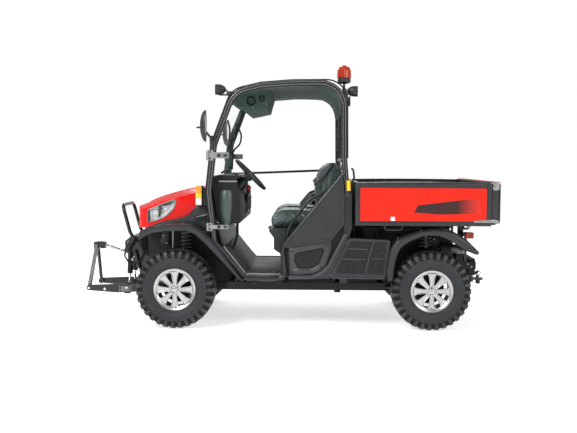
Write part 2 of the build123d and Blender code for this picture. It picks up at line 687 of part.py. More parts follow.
def hip_hoops(*neighbours):
    """The hip restraint bars outboard of the seats."""
    hoop = pipe([(x, -CAB_Y + 35, z) for x, z in HIP_HOOP], 13, 90)
    return both(cut(hoop, *neighbours))


def armrests(*neighbours):
    """Folding armrests beside each seat back."""
    edge = DRIVER_Y + SEAT_WIDTH / 2
    y = (-edge - 27, -edge - 3)
    arm = slab([(60, 960), (205, 1130), (232, 1122), (250, 1090), (90, 930)], y, 12)
    pivot = cross_pin(262, 1100, (y[0], -edge), 12)
    link = slab([(215, 1130), (280, 1120), (280, 1080), (225, 1090)], y, 8)
    return both(cut(fused(arm, link, pivot), *neighbours))


# ================================================================ outer panels
QUARTER = [(3, 656), (458, 1218), (468, 1072), (468, 823), (362, 690), (35, 641)]
SERVICE = [(36, 646), (362, 695), (378, 690), (370, 627), (328, 494), (252, 441), (51, 424)]
ROCKER = [(52, 420), (256, 421), (342, 486), (477, 771), (497, 712), (371, 437), (363, 405), (52, 396)]
ENGINE_PANEL = [(366, 405), (374, 437), (500, 710), (520, 722), (REAR_AXLE_X - 325, 708),
                (REAR_AXLE_X - 337, 560), (REAR_AXLE_X - 355, 440), (REAR_AXLE_X - 363, 401)]


def quarter_panels(*neighbours):
    """The moulded panels below and behind the door openings."""
    y = (-PANEL_Y - PANEL_THICK, -PANEL_Y)
    return both(cut(slab(QUARTER, y, 14), *neighbours), cut(slab(ROCKER, y, 6), *neighbours))


def service_panels(*neighbours):
    """Meshed panels under the seats and beside the engine."""
    y = (-PANEL_Y - PANEL_THICK + 6, -PANEL_Y + 6)
    return both(cut(slab(SERVICE, y, 16), *neighbours), cut(slab(ENGINE_PANEL, y, 14), *neighbours))


# Columns: distance behind the rear axle, height.
REAR_FENDER = [(-344, 396), (-361, 481), (-332, 637), (-287, 714), (-218, 746), (-104, 785), (-12, 801),
               (88, 798), (165, 779), (265, 718), (359, 626), (347, 606), (329, 606), (244, 641), (128, 717),
               (50, 748), (-65, 751), (-179, 707), (-255, 653), (-293, 559), (-315, 396)]
FRONT_FENDER = [(-1120, 771), (-1034, 803), (-917, 822), (-801, 830), (-708, 826), (-646, 790), (-568, 721),
                (-452, 581), (-312, 387), (-335, 392), (-478, 545), (-607, 681), (-685, 751), (-762, 778),
                (-918, 773), (-1034, 756), (-1089, 725), (-1120, 701)]


def rear_fenders(*neighbours):
    """Black arches over the rear wheels."""
    outline = [(REAR_AXLE_X + x, z) for x, z in REAR_FENDER]
    return both(cut(slab(outline, (-FENDER_Y, -FENDER_INNER_Y), 16), *neighbours))


def front_fenders(*neighbours):
    """Black arches over the front wheels, with a tail down to the sill."""
    return both(cut(slab(FRONT_FENDER, (-FENDER_Y, -FENDER_INNER_Y), 16), *neighbours))


# Columns: distance behind the rear axle, height of the bar's top.
STAYS = [(-240, 720), (185, 730)]
STAY_WIDTH = 30


def fender_stays(*neighbours):
    """Posts and bars that carry the rear fenders on the frame."""
    stays = []
    for x, z in STAYS:
        span = (REAR_AXLE_X + x, REAR_AXLE_X + x + STAY_WIDTH)
        bar = near_block(span, (REAR_RAIL_Y + 10, FENDER_INNER_Y + 30), (z - STAY_WIDTH, z))
        stays.append(cut(bar + near_block(span, REAR_RAIL_SPAN, (REAR_RAIL_TOP_Z, z)), *neighbours))
    return both(*stays)


# ================================================================ hood
HOOD_NOSE_TIP = (-1290, 925)
HOOD_CROWN = [HOOD_NOSE_TIP, (-1160, 962), (-1010, 1030), (-847, 1077), (-717, 1100), (-628, 1108)]
HOOD_BELLY = [(-628, 961), (-694, 961), (-766, 880), (-822, 862), (-981, 829), (-1112, 779), (-1260, 779)]
HOOD_HALF = 512
HOOD_WALL = 6
HOOD_NOSE_BOW = 55
CROWN_FLAT = 345        # half width of the hood's flat crown
HOOD_FALL = 40          # how far the hood falls from its crown to its sides
HOOD_PIN_X = -637
HOOD_PIN_Z = 1089
HOOD_PIN_Y = 330
HOOD_PIN_R = 4
HOOD_EYE_R = 9
LAMP_SIDE = [(-1216, 846), (-1180, 916), (-1107, 922), (-900, 1006), (-866, 1000), (-897, 921), (-945, 866),
             (-1099, 817), (-1150, 806)]
LAMP_INNER_Y = 330


def plan_outline(inset):
    """The hood in plan: straight sides and a bowed nose, set in by a wall."""
    half = HOOD_HALF - inset
    nose = -1166 + inset
    rear = -560
    arc = ThreePointArc((nose, -half, 0), (nose - HOOD_NOSE_BOW, 0, 0), (nose, half, 0))
    sides = Polyline((nose, half, 0), (rear, half, 0), (rear, -half, 0), (nose, -half, 0))
    return Face(Wire([*arc.edges(), *sides.edges()]))


def hood_envelope(inset):
    """The hood's outside shape, or its inside set in by a wall."""
    column = Pos(0, 0, 700) * extrude(plan_outline(inset), amount=500, dir=(0, 0, 1))
    column = fillet(column.edges().filter_by(Axis.Z).sort_by(Axis.X)[:2], 60 - inset)
    edge = HOOD_HALF + 5
    sections = []
    for y, fall in ((-edge, HOOD_FALL), (-CROWN_FLAT, 0), (CROWN_FLAT, 0), (edge, HOOD_FALL)):
        points = [(x, y, z - fall) for x, z in HOOD_CROWN] + [(x, y, z) for x, z in HOOD_BELLY]
        sections.append(Face(Wire(Polyline(*points, close=True).edges())))
    return column & Pos(0, 0, -inset) * loft(sections, ruled=True)


LAMP_DEPTH = 34
GRILLE_DEPTH = 16
GRILLE_HALF = LAMP_INNER_Y - 6


def hood_parts():
    """Hood shell, its two headlamps flush with it, and the grille between them."""
    body, inside = hood_envelope(0), hood_envelope(HOOD_WALL)
    void = inside + Pos(0, 0, -60) * inside
    rear_gap = block((-694, -560), (-HOOD_HALF, HOOD_HALF), (940, 1094))
    lamps = both(body & slab(LAMP_SIDE, (-HOOD_HALF - 5, -LAMP_INNER_Y), 10))
    grille_hole = block((-1300, -1120), (-GRILLE_HALF, GRILLE_HALF), (800, 900))
    grille = cut(body & grille_hole, Pos(GRILLE_DEPTH, 0, 0) * body)
    shell = cut(body, void, rear_gap & inside, grille_hole, *lamps)
    return shell, [cut(lamp, Pos(LAMP_DEPTH, 0, 0) * inside) for lamp in lamps], grille


def hood_ears():
    """Hinge ears under the hood's rear edge."""
    ear = near_block((HOOD_PIN_X - HOOD_EYE_R, HOOD_PIN_X + HOOD_EYE_R), (HOOD_PIN_Y - 10, HOOD_PIN_Y),
                     (HOOD_PIN_Z, HOOD_PIN_Z + 14))
    ear = ear + cross_pin(HOOD_PIN_X, HOOD_PIN_Z, (-HOOD_PIN_Y, -HOOD_PIN_Y + 10), HOOD_EYE_R)
    bore = cross_pin(HOOD_PIN_X, HOOD_PIN_Z, (-HOOD_PIN_Y - 5, -HOOD_PIN_Y + 20), HOOD_PIN_R + RUNNING)
    return both(cut(ear, bore))


def hood_brackets(*neighbours):
    """Brackets on the scuttle with the hood's hinge pins, low enough behind for the raised hood's edge."""
    # Columns: distance behind the hinge pin, height over it.
    shape = [(-8, -12), (-8, 7), (4, 7), (9, -3), (37, -5), (37, -12)]
    outline = [(HOOD_PIN_X + x, HOOD_PIN_Z + z) for x, z in shape]
    plate = slab(outline, (-HOOD_PIN_Y - 12, -HOOD_PIN_Y - SIDE_PLAY))
    pin = cross_pin(HOOD_PIN_X, HOOD_PIN_Z, (-HOOD_PIN_Y - 12, -HOOD_PIN_Y + 12), HOOD_PIN_R)
    return both(cut(plate + pin, *neighbours))


# ================================================================ load bed
BED_EAR_Y = REAR_RAIL_Y + RAIL_WALL + SIDE_PLAY
BED_EAR_R = 26
BED_LINER = 8           # the sheet behind the side panels
TAILGATE_X = BED_REAR_X + TAILGATE_GAP
TAILGATE_PIN_X = BED_REAR_X + 34
TAILGATE_PIN_Z = BED_Z + 18
LOOP_Y = BED_HALF - 80
# Columns: distance behind the rear axle of the loop's front and rear, height of its foot.
BED_LOOPS = [(-371, -231, 790), (213, 283, 800)]


def bed_tub():
    """The bed's black frame: floor, headboard, posts, rails and the hinge ears below."""
    floor = block((BED_FRONT_X, BED_REAR_X), (-BED_HALF, BED_HALF), (BED_Z, BED_Z + BED_FLOOR))
    head = block((BED_FRONT_X, BED_FRONT_X + BED_WALL), (-BED_HALF, BED_HALF), (BED_Z, BED_TOP_Z))
    wall_y = (BED_HALF - BED_WALL, BED_HALF)
    half = [
        near_block((BED_FRONT_X, BED_REAR_X), wall_y, (BED_TOP_Z - BED_RAIL, BED_TOP_Z)),
        near_block((BED_FRONT_X, BED_REAR_X), wall_y, (BED_Z, BED_Z + BED_RAIL - 4)),
        near_block((BED_REAR_X - BED_WALL, BED_REAR_X), wall_y, (BED_Z, BED_TOP_Z)),
        near_block((BED_FRONT_X, BED_REAR_X), (wall_y[0], wall_y[0] + BED_LINER), (BED_Z, BED_TOP_Z)),
    ]
    ear = near_block((BED_PIVOT_X - BED_EAR_R, BED_PIVOT_X + BED_EAR_R), (BED_EAR_Y, BED_EAR_Y + 16),
                     (BED_PIVOT_Z - 8, BED_Z + 4))
    ear = ear + cross_pin(BED_PIVOT_X, BED_PIVOT_Z, (-BED_EAR_Y - 16, -BED_EAR_Y), BED_EAR_R)
    bore = cross_pin(BED_PIVOT_X, BED_PIVOT_Z, (-BED_EAR_Y - 30, -BED_EAR_Y + 10), BED_PIN_R + RUNNING)
    half.append(cut(ear, bore))
    plate_y = (DUMP_EYE_R + 6, DUMP_EYE_R + 14)
    half.append(near_block((DUMP_EYE_X - 24, DUMP_EYE_X + 24), plate_y, (DUMP_EYE_Z - 16, BED_Z + 4)))
    lug_y = (BED_HALF - 60, BED_HALF - 46)
    lug = near_block((BED_REAR_X - 20, TAILGATE_PIN_X + 10), lug_y,
                     (TAILGATE_PIN_Z - 10, TAILGATE_PIN_Z + 10))
    pin = cross_pin(TAILGATE_PIN_X, TAILGATE_PIN_Z, (-BED_HALF + 46, -BED_HALF + 80), TAILGATE_PIN_R)
    half.append(lug + pin)
    return fused(floor, head, *both(*half))


def bed_sides(tub):
    """The red side panels set into the bed's frame."""
    panel = near_block((BED_FRONT_X + BED_WALL, BED_REAR_X - BED_WALL),
                       (BED_HALF - BED_WALL + BED_LINER, BED_HALF + 3),
                       (BED_Z + BED_RAIL - 4, BED_TOP_Z - BED_RAIL))
    return both(cut(panel, tub))


def bed_loops():
    """Tie-down loops under the bed's edge."""
    loops = []
    for front, rear, low in BED_LOOPS:
        x0, x1, top = REAR_AXLE_X + front, REAR_AXLE_X + rear, BED_Z + 18
        route = [(x0, -LOOP_Y, top), (x0, -LOOP_Y, low), (x1, -LOOP_Y, low), (x1, -LOOP_Y, top)]
        loops.append(pipe(route, 6, 14))
    return both(*loops)


def tailgate():
    """The red tailgate with hinge ears at its foot."""
    y = BED_HALF - 2
    gate = block((TAILGATE_X, TAILGATE_X + TAILGATE_THICK), (-y, y), (TAILGATE_PIN_Z + 8, BED_TOP_Z + 10))
    ear = near_block((TAILGATE_PIN_X - 10, TAILGATE_PIN_X + 10), (BED_HALF - 78, BED_HALF - 60 - SIDE_PLAY),
                     (TAILGATE_PIN_Z, TAILGATE_PIN_Z + 12))
    ear = ear + cross_pin(TAILGATE_PIN_X, TAILGATE_PIN_Z, (-BED_HALF + 60 + SIDE_PLAY, -BED_HALF + 78), 13)
    pocket = near_block((TAILGATE_X - 5, TAILGATE_PIN_X + 20), (BED_HALF - 62, BED_HALF - 40),
                        (TAILGATE_PIN_Z - 20, TAILGATE_PIN_Z + 20))
    bore = cross_pin(TAILGATE_PIN_X, TAILGATE_PIN_Z, (-BED_HALF, -BED_HALF + 100), TAILGATE_PIN_R + RUNNING)
    return cut(fused(gate, *both(ear)), *both(bore, pocket))


DUMP_LINE = Vector(DUMP_EYE_X - DUMP_X, 0, DUMP_EYE_Z - DUMP_Z)
DUMP_BARREL = 285
DUMP_ROD_R = 15


def along_dump(distance):
    """A point on the tipping cylinder's line, measured from its foot pin."""
    unit = DUMP_LINE.normalized()
    return (DUMP_X + unit.X * distance, 0, DUMP_Z + unit.Z * distance)


def dump_barrel():
    """The tipping cylinder's barrel, on its foot pin."""
    body = rod(along_dump(30), along_dump(DUMP_BARREL), 27)
    neck = rod(along_dump(0), along_dump(34), DUMP_EYE_HALF - 1)
    eye = cross_pin(DUMP_X, DUMP_Z, (-DUMP_EYE_HALF, DUMP_EYE_HALF), DUMP_EYE_R)
    bore = rod(along_dump(40), along_dump(DUMP_BARREL + 5), DUMP_ROD_R + RUNNING)
    hole = cross_pin(DUMP_X, DUMP_Z, (-40, 40), DUMP_PIN_R + RUNNING)
    return cut(fused(body, neck, eye), bore, hole)


def dump_rod():
    """The tipping cylinder's rod with the eye that lifts the bed."""
    bar = rod(along_dump(44), along_dump(DUMP_LINE.length - 6), DUMP_ROD_R)
    eye = cross_pin(DUMP_EYE_X, DUMP_EYE_Z, (-DUMP_EYE_R - 5.6, DUMP_EYE_R + 5.6), DUMP_EYE_R)
    return bar + eye


# ================================================================ lamps, mirrors and small fittings
def marker_lamps(*neighbours):
    """Upright lamp units beside the scuttle."""
    return both(cut(block((-690, -646), (-665, -COWL_HALF), (970, 1119)), *neighbours))


def side_vents(*neighbours):
    """Finned air inlets between the hood and the windscreen posts."""
    return both(cut(block((-646, -600), (-640, -COWL_HALF), (968, 1108)), *neighbours))


MIRROR_Y = (-905, -775)


def mirrors(*neighbours):
    """Two tall door mirrors on bent arms, with their pivot on the windscreen posts."""
    outline = [(-589, 1459), (-589, 1703), (-612, 1700), (-634, 1640), (-636, 1540), (-618, 1466)]
    head = slab(outline, MIRROR_Y, 12)
    route = [(-552, -CAB_Y - 12, 1472), (-560, -CAB_Y - 60, 1490), (-612, -800, 1560), (-612, -820, 1600)]
    arm = pipe(route, 9, 40)
    foot = block((-575, -530), (-CAB_Y - 44, -CAB_Y - 16), (1436, 1512))
    return both(cut(fused(head, arm, foot), *neighbours))


BEACON_X = 472
BEACON_Y = -450


def beacon_base(*neighbours):
    """The post and foot of the flashing beacon on the roof."""
    post = rod((BEACON_X, BEACON_Y, 1856), (BEACON_X, BEACON_Y, 1940), 9)
    foot = rod((BEACON_X, BEACON_Y, 1936), (BEACON_X, BEACON_Y, 1978), 52)
    return cut(post + foot, *neighbours)


def beacon_lens():
    """The amber dome of the beacon."""
    profile = [(0, 1978), (50, 1978), (54, 1990), (52, 2040), (42, 2068), (20, 2081), (0, 2081)]
    face = Face(Wire(Polyline(*[(BEACON_X + r, BEACON_Y, z) for r, z in profile], close=True).edges()))
    return revolve(face, Axis((BEACON_X, BEACON_Y, 0), (0, 0, 1)), 360)


def work_lights(*neighbours):
    """Round work lights at the corners of the roof, front and rear."""
    front = rod((-548, -550, 1880), (-462, -550, 1880), 42) + block((-500, -440), (-570, -530), (1850, 1868))
    front = front + block((-450, -400), (-570, -530), (1832, 1868))
    rear = rod((492, -560, 1868), (574, -560, 1868), 44) + block((466, 500), (-575, -545), (1850, 1870))
    return both(cut(front, *neighbours), cut(rear, *neighbours))


HINGE_TABLE = [(-600, -548, 1320, 1400), (-600, -556, 771, 834)]


def hinge_brackets(*neighbours):
    """Bare door hinge halves left on the windscreen posts.  Columns: front X, rear X, low Z, high Z."""
    pieces = []
    for front, rear, low, high in HINGE_TABLE:
        plate = block((front, rear), (-CAB_Y - 34, -CAB_Y - 4), (low, high))
        tongue = block((rear - 6, rear + 120), (-CAB_Y - 34, -CAB_Y - 26), (low + 16, high - 16))
        pieces.append(cut(plate + tongue, *neighbours))
    return both(*pieces)


def side_bar(*neighbours):
    """The thin bar across the passenger's door opening."""
    bar = pipe([(-590, CAB_Y, 1196), (-281, CAB_Y, 1200), (348, CAB_Y, 1238), (460, CAB_Y, 1240)], 11, 60)
    return cut(bar, *neighbours)


LAMP_X = (REAR_AXLE_X + 273, REAR_AXLE_X + 333)


def tail_lamps(*neighbours):
    """Amber lamps behind the rear wheels with the arms that hold them."""
    x0, x1 = LAMP_X
    lamp = near_block(LAMP_X, (HALF_TRACK - 65, HALF_TRACK + 15), (718, 764))
    arm = near_block((x0 + 4, x0 + 24), (REAR_RAIL_Y + 20, HALF_TRACK - 59), (726, 744))
    post = near_block((x1 - 13, x1 + 7), (REAR_RAIL_Y + 10, REAR_RAIL_Y + 30), (REAR_RAIL_TOP_Z, 744))
    arm = arm + near_block((x0 + 4, x1 + 7), (REAR_RAIL_Y + 20, REAR_RAIL_Y + 40), (726, 744))
    return both(cut(lamp, arm)), both(cut(arm + post, *neighbours))


HITCH_HALF = 31
HITCH_SOCKET_HALF = 25.5
HITCH_DROP = 0.3        # the ball mount rests this far below the receiver's middle
HITCH_Z = 315
HITCH_END_X = CHASSIS_END_X + 23


def receiver():
    """The square receiver tube on the rear cross member."""
    span = (HITCH_END_X - 131, HITCH_END_X)
    tube = block(span, (-HITCH_HALF, HITCH_HALF), (HITCH_Z - HITCH_HALF, HITCH_Z + HITCH_HALF))
    socket = block((span[0] - 5, span[1] + 5), (-HITCH_SOCKET_HALF, HITCH_SOCKET_HALF),
                   (HITCH_Z - HITCH_SOCKET_HALF, HITCH_Z + HITCH_SOCKET_HALF))
    plates = both(near_block((CHASSIS_END_X - 58, CHASSIS_END_X), (HITCH_HALF, HITCH_HALF + 10),
                             (HITCH_Z - 30, REAR_RAIL_Z - 40)))
    return cut(fused(tube, *plates), socket)


BALL_X = HITCH_END_X + 67
BALL_R = 25


def drawbar():
    """The ball mount in the receiver."""
    half = HITCH_SOCKET_HALF - 0.5
    rest = HITCH_Z - HITCH_DROP
    bar = block((HITCH_END_X - 111, HITCH_END_X + 21), (-half, half), (rest - half, rest + half))
    tongue = block((HITCH_END_X + 9, BALL_X + 36), (-30, 30), (HITCH_Z - 8, HITCH_Z + 10))
    neck = rod((BALL_X, 0, HITCH_Z - 43), (BALL_X, 0, HITCH_Z + 36), 13)
    nut = rod((BALL_X, 0, HITCH_Z - 39), (BALL_X, 0, HITCH_Z - 8), 20)
    ball = Pos(BALL_X, 0, HITCH_Z + 49) * Sphere(BALL_R)
    return fused(bar, tongue, neck, nut, ball)


# ================================================================ front guard and linkage
def guard_hoop():
    """The brush guard: two bent posts and a top bar in one tube."""
    path = [(-1262, -LINK_ARM_Y, 640), (-1306, -LINK_ARM_Y, 720), (-1366, -LINK_ARM_Y, 945),
            (-1366, LINK_ARM_Y, 945), (-1306, LINK_ARM_Y, 720), (-1262, LINK_ARM_Y, 640)]
    return pipe(path, 15, 60)


TOWER = [(-1070, 300), (-1070, 420), (-1200, 560), (-1225, 682), (-1300, 682), (-1353, 640), (-1353, 590),
         (-1290, 560), (-1250, 440), (-1170, 300)]


def hitch_tower(chassis):
    """Two plates ahead of the frame that carry the lifting linkage, with their cross tubes."""
    plates = both(slab(TOWER, (-TOWER_Y - TOWER_WALL, -TOWER_Y), 10))
    base = block((RAIL_FRONT_X - 120, RAIL_FRONT_X), (-TOWER_Y - TOWER_WALL, TOWER_Y + TOWER_WALL),
                 (RAIL_TOP_Z - 14, RAIL_TOP_Z + 10))
    arm_y = (LINK_ARM_Y - LINK_ARM_WIDTH / 2, LINK_ARM_Y + LINK_ARM_WIDTH / 2)
    pivot_y = (arm_y[0] - SIDE_PLAY - 10, arm_y[0] - SIDE_PLAY)
    pivot_plates = both(near_block((LINK_PIVOT_X - 26, RAIL_FRONT_X + 6), pivot_y,
                                   (LINK_PIVOT_Z - 26, RAIL_TOP_Z)))
    pivot_bar = cross_pin(LINK_PIVOT_X, LINK_PIVOT_Z, (-arm_y[1] - 10, arm_y[1] + 10), LINK_PIN_R)
    lift_bar = cross_pin(LIFT_X, LIFT_TOP_Z, (-TOWER_Y, TOWER_Y), 11)
    beam = block((-1300, -1262), (-LINK_ARM_Y - 6, LINK_ARM_Y + 6), (660, 682))
    cheek_y = (TOP_EYE_HALF + SIDE_PLAY, TOP_EYE_HALF + 10)
    link_plates = both(near_block((TOP_LINK_X - 20, TOP_LINK_X + 20), cheek_y, (TOP_LINK_Z - 20, 670)))
    link_pin = cross_pin(TOP_LINK_X, TOP_LINK_Z, (-30, 30), 9)
    tower = fused(base, *plates, *pivot_plates, pivot_bar, lift_bar, beam, *link_plates, link_pin)
    return cut(tower, chassis)


def lift_barrels(tower):
    """Two lift cylinders hanging from the tower's upper bar."""
    foot = Vector(LIFT_FOOT_X - LIFT_X, 0, LIFT_FOOT_Z - LIFT_TOP_Z)
    unit = foot.normalized()
    start = (LIFT_X, -LIFT_Y, LIFT_TOP_Z)
    end = (LIFT_X + unit.X * LIFT_BARREL, -LIFT_Y, LIFT_TOP_Z + unit.Z * LIFT_BARREL)
    bore_start = (LIFT_X + unit.X * 26, -LIFT_Y, LIFT_TOP_Z + unit.Z * 26)
    bore_end = (LIFT_X + unit.X * (LIFT_BARREL + 25), -LIFT_Y, LIFT_TOP_Z + unit.Z * (LIFT_BARREL + 25))
    barrel = cut(rod(start, end, LIFT_BARREL_R), rod(bore_start, bore_end, LIFT_ROD_R + RUNNING))
    return both(cut(barrel, tower))


def lift_rods():
    """The lift cylinders' rods, each with an eye between the plates on the lower arms."""
    foot = Vector(LIFT_FOOT_X - LIFT_X, 0, LIFT_FOOT_Z - LIFT_TOP_Z)
    unit = foot.normalized()
    start = (LIFT_X + unit.X * 100, -LIFT_Y, LIFT_TOP_Z + unit.Z * 100)
    bar = rod(start, (LIFT_FOOT_X, -LIFT_Y, LIFT_FOOT_Z), LIFT_ROD_R)
    eye = cross_pin(LIFT_FOOT_X, LIFT_FOOT_Z, (-LIFT_Y - LIFT_EYE_HALF, -LIFT_Y + LIFT_EYE_HALF), 19)
    return both(bar + eye)


def hitch_arms():
    """The two lower arms with a cross beam, cylinder plates and pivot eyes."""
    y = (LINK_ARM_Y - LINK_ARM_WIDTH / 2, LINK_ARM_Y + LINK_ARM_WIDTH / 2)
    outline = [(LINK_PIVOT_X, LINK_PIVOT_Z + 26), (-1411, 278), (LINK_TIP_X, LINK_TIP_Z + 22),
               (LINK_TIP_X, LINK_TIP_Z - 22), (-1411, 205), (LINK_PIVOT_X, LINK_PIVOT_Z - 26)]
    arm = slab([(x, z) for x, z in outline], (-y[1], -y[0]))
    arm = arm + cross_pin(LINK_PIVOT_X, LINK_PIVOT_Z, (-y[1], -y[0]), 26)
    arm = arm + cross_pin(LINK_TIP_X, LINK_TIP_Z, (-y[1], -y[0]), 22)
    bore = cross_pin(LINK_PIVOT_X, LINK_PIVOT_Z, (-y[1] - 20, -y[0] + 20), LINK_PIN_R + RUNNING)
    tip_pin = cross_pin(LINK_TIP_X, LINK_TIP_Z, (-y[0], -y[0] + 24), 10)
    gap = LIFT_EYE_HALF + SIDE_PLAY
    plates = [near_block((LIFT_FOOT_X - 26, LIFT_FOOT_X + 26), span, (205, 276))
              for span in ((LIFT_Y + gap, LIFT_Y + gap + 8), (LIFT_Y - gap - 8, LIFT_Y - gap))]
    beam = block((LIFT_FOOT_X - 24, LIFT_FOOT_X + 24), (-LINK_ARM_Y, LINK_ARM_Y), (196, 222))
    return fused(beam, *both(cut(arm, bore), tip_pin, *plates))


COUPLER_APEX_Z = 612


def hitch_coupler():
    """The A-shaped coupler frame on the tips of the lower arms."""
    inner = LINK_ARM_Y - LINK_ARM_WIDTH / 2 - SIDE_PLAY
    foot = cross_pin(LINK_TIP_X, LINK_TIP_Z, (-inner, -inner + 20), 24)
    leg = rod((LINK_TIP_X, -inner + 12, LINK_TIP_Z + 16), (LINK_TIP_X + 18, -24, COUPLER_APEX_Z - 40), 15)
    ear = near_block((-1640, TOP_LINK_TIP_X + 18), (TOP_EYE_HALF + SIDE_PLAY, TOP_EYE_HALF + 9),
                     (TOP_LINK_TIP_Z - 38, TOP_LINK_TIP_Z + 20))
    head = block((-1660, -1622), (-40, 40), (COUPLER_APEX_Z - 60, COUPLER_APEX_Z))
    bore = cross_pin(LINK_TIP_X, LINK_TIP_Z, (-inner - 10, -inner + 40), 10 + RUNNING)
    return cut(fused(head, *both(foot, leg, ear)), *both(bore))


def top_link():
    """The chromed upper link from the tower to the coupler's apex."""
    bar = rod((TOP_LINK_X, 0, TOP_LINK_Z), (TOP_LINK_TIP_X, 0, TOP_LINK_TIP_Z), 14)
    rear = cross_pin(TOP_LINK_X, TOP_LINK_Z, (-TOP_EYE_HALF, TOP_EYE_HALF), 19)
    front = cross_pin(TOP_LINK_TIP_X, TOP_LINK_TIP_Z, (-TOP_EYE_HALF, TOP_EYE_HALF), 17)
    bore = cross_pin(TOP_LINK_X, TOP_LINK_Z, (-40, 40), 9 + RUNNING)
    return cut(fused(bar, rear, front), bore)


# ================================================================ assembly
def running_gear():
    """Everything from the frame down."""
    lower = chassis_frame()
    rear = rear_frame(lower)
    sills = side_sills(lower, rear)
    write("chassis_frame", [lower])
    write("rear_frame", [rear])
    write("side_sills", sills)
    chassis = fused(lower, rear, *sills)
    wishbones = front_suspension(chassis)
    axle = rear_axle()
    engine = engine_block(chassis)
    struts = front_struts(chassis, wishbones)
    sides = [wishbones[side] + wishbones[side + 1] + struts[side // 2] for side in (0, 2)]
    write("front_suspension", [*sides, rack_housing(chassis)])
    write("rear_axle", [fused(axle, *rear_links(chassis, axle), *rear_shocks(chassis, axle))])
    write("engine_block", [engine])
    write("muffler", [muffler(chassis)])
    left = knuckle()
    write("knuckle_left", [left])
    write("knuckle_right", [mirrored(left)])
    write("tie_rod", [tie_rod_bar()])
    wheels()
    return chassis


def cab(chassis):
    """Frame tubes, glass, seats, dash and the panels round them."""
    loops = cab_loops()
    cage = fused(*loops, *cross_tubes(loops))
    write("cab_frame", [cage])
    frames = door_frames([cage, chassis])
    write("door_frames", frames)
    skeleton = [cage, *frames]
    roof = roof_panel(*skeleton)
    write("roof_panel", [roof])
    console = overhead_console(*skeleton, roof)
    write("overhead_console", [console])
    front_glass = windscreen(*skeleton, roof, console)
    floor = floor_pan(chassis, *skeleton)
    write("floor_pan", [floor])
    wall = rear_wall(chassis, *skeleton, floor)
    write("rear_wall", [wall])
    rear_glass = rear_window(*skeleton, roof, wall)
    write("cab_glass", [front_glass, rear_glass])
    boxes = post_boxes(*skeleton, wall)
    feet = post_feet(chassis, *skeleton, wall, floor, *boxes)
    write("rear_post_boxes", [*boxes, *feet])
    scuttle = cowl(*skeleton, chassis, front_glass)
    write("cowl", [fused(scuttle, *hood_brackets(), *side_vents(*skeleton))])
    dash = dashboard(*skeleton, scuttle, floor, front_glass)
    write("dashboard", [dash + steering_column()])
    write("controls", [*pedals(dash, floor), *control_levers(dash)])
    base = seat_base(floor, wall, *skeleton)
    write("seat_base", [base])
    cushions = seat_cushions()
    backs = seat_backs(*cushions, wall, base)
    write("seat_cushions", cushions)
    write("seat_backs", backs)
    hoops = hip_hoops(*skeleton, *boxes, wall, *feet)
    bar = side_bar(*skeleton)
    write("hip_bars", [*hoops, *armrests(*hoops, *backs, *cushions), bar])
    quarters = quarter_panels(*skeleton, *boxes)
    write("quarter_panels", quarters)
    fenders = rear_fenders()
    write("service_panels", service_panels(*quarters, *skeleton, *boxes, chassis, *fenders))
    write("hinge_brackets", hinge_brackets(*skeleton))
    write("mirrors", mirrors(*skeleton))
    lights = work_lights(*skeleton, roof, front_glass, console, rear_glass)
    write("roof_lights", [*lights, beacon_base(*skeleton, roof)])
    write("beacon_lens", [beacon_lens()])
    write("marker_lamps", marker_lamps(scuttle))
    write("steering_wheel", [steering_wheel()])
    return skeleton


def body_panels(chassis, skeleton):
    """Fenders, hood and rear fittings."""
    lamps_rear, arms_rear = tail_lamps(chassis)
    stays = [*fender_stays(chassis), *arms_rear]
    write("fender_stays", stays)
    write("rear_fenders", rear_fenders(*stays))
    write("front_fenders", front_fenders(*skeleton, chassis))
    shell, lamps, grille = hood_parts()
    write("hood", [fused(shell, *hood_ears())])
    write("headlamps", lamps)
    write("grille", [grille])
    write("tail_lamps", lamps_rear)
    write("drawbar", [cut(drawbar(), chassis)])


def load_bed():
    """The tipping bed with its tailgate and cylinder."""
    tub = bed_tub()
    write("bed_tub", [fused(tub, *bed_loops())])
    write("bed_sides", bed_sides(tub))
    write("tailgate", [tailgate()])
    write("dump_barrel", [dump_barrel()])
    write("dump_rod", [dump_rod()])


def front_linkage(chassis):
    """The lifting linkage and its guard."""
    tower = hitch_tower(chassis)
    write("hitch_tower", [tower + guard_hoop()])
    write("lift_barrels", lift_barrels(tower))
    write("lift_rods", lift_rods())
    write("hitch_arms", [hitch_arms()])
    write("hitch_coupler", [hitch_coupler()])
    write("top_link", [top_link()])


frame = running_gear()
tubes_of_cab = cab(frame)
body_panels(frame, tubes_of_cab)
load_bed()
front_linkage(frame)
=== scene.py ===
"""Dresses a side by side utility vehicle: open cab, tipping load bed and a front lifting linkage.

Lengths in the tables are millimetres in the vehicle's own frame: +X to the rear, -Y to the driver's
side, +Z up, origin on the ground.  Meshes are made in metres.
"""

from __future__ import annotations

import json
import logging
import math
from collections.abc import Callable, Iterable, Sequence
from dataclasses import dataclass
from enum import Enum

import bmesh
import bpy
from mathutils import Matrix, Vector

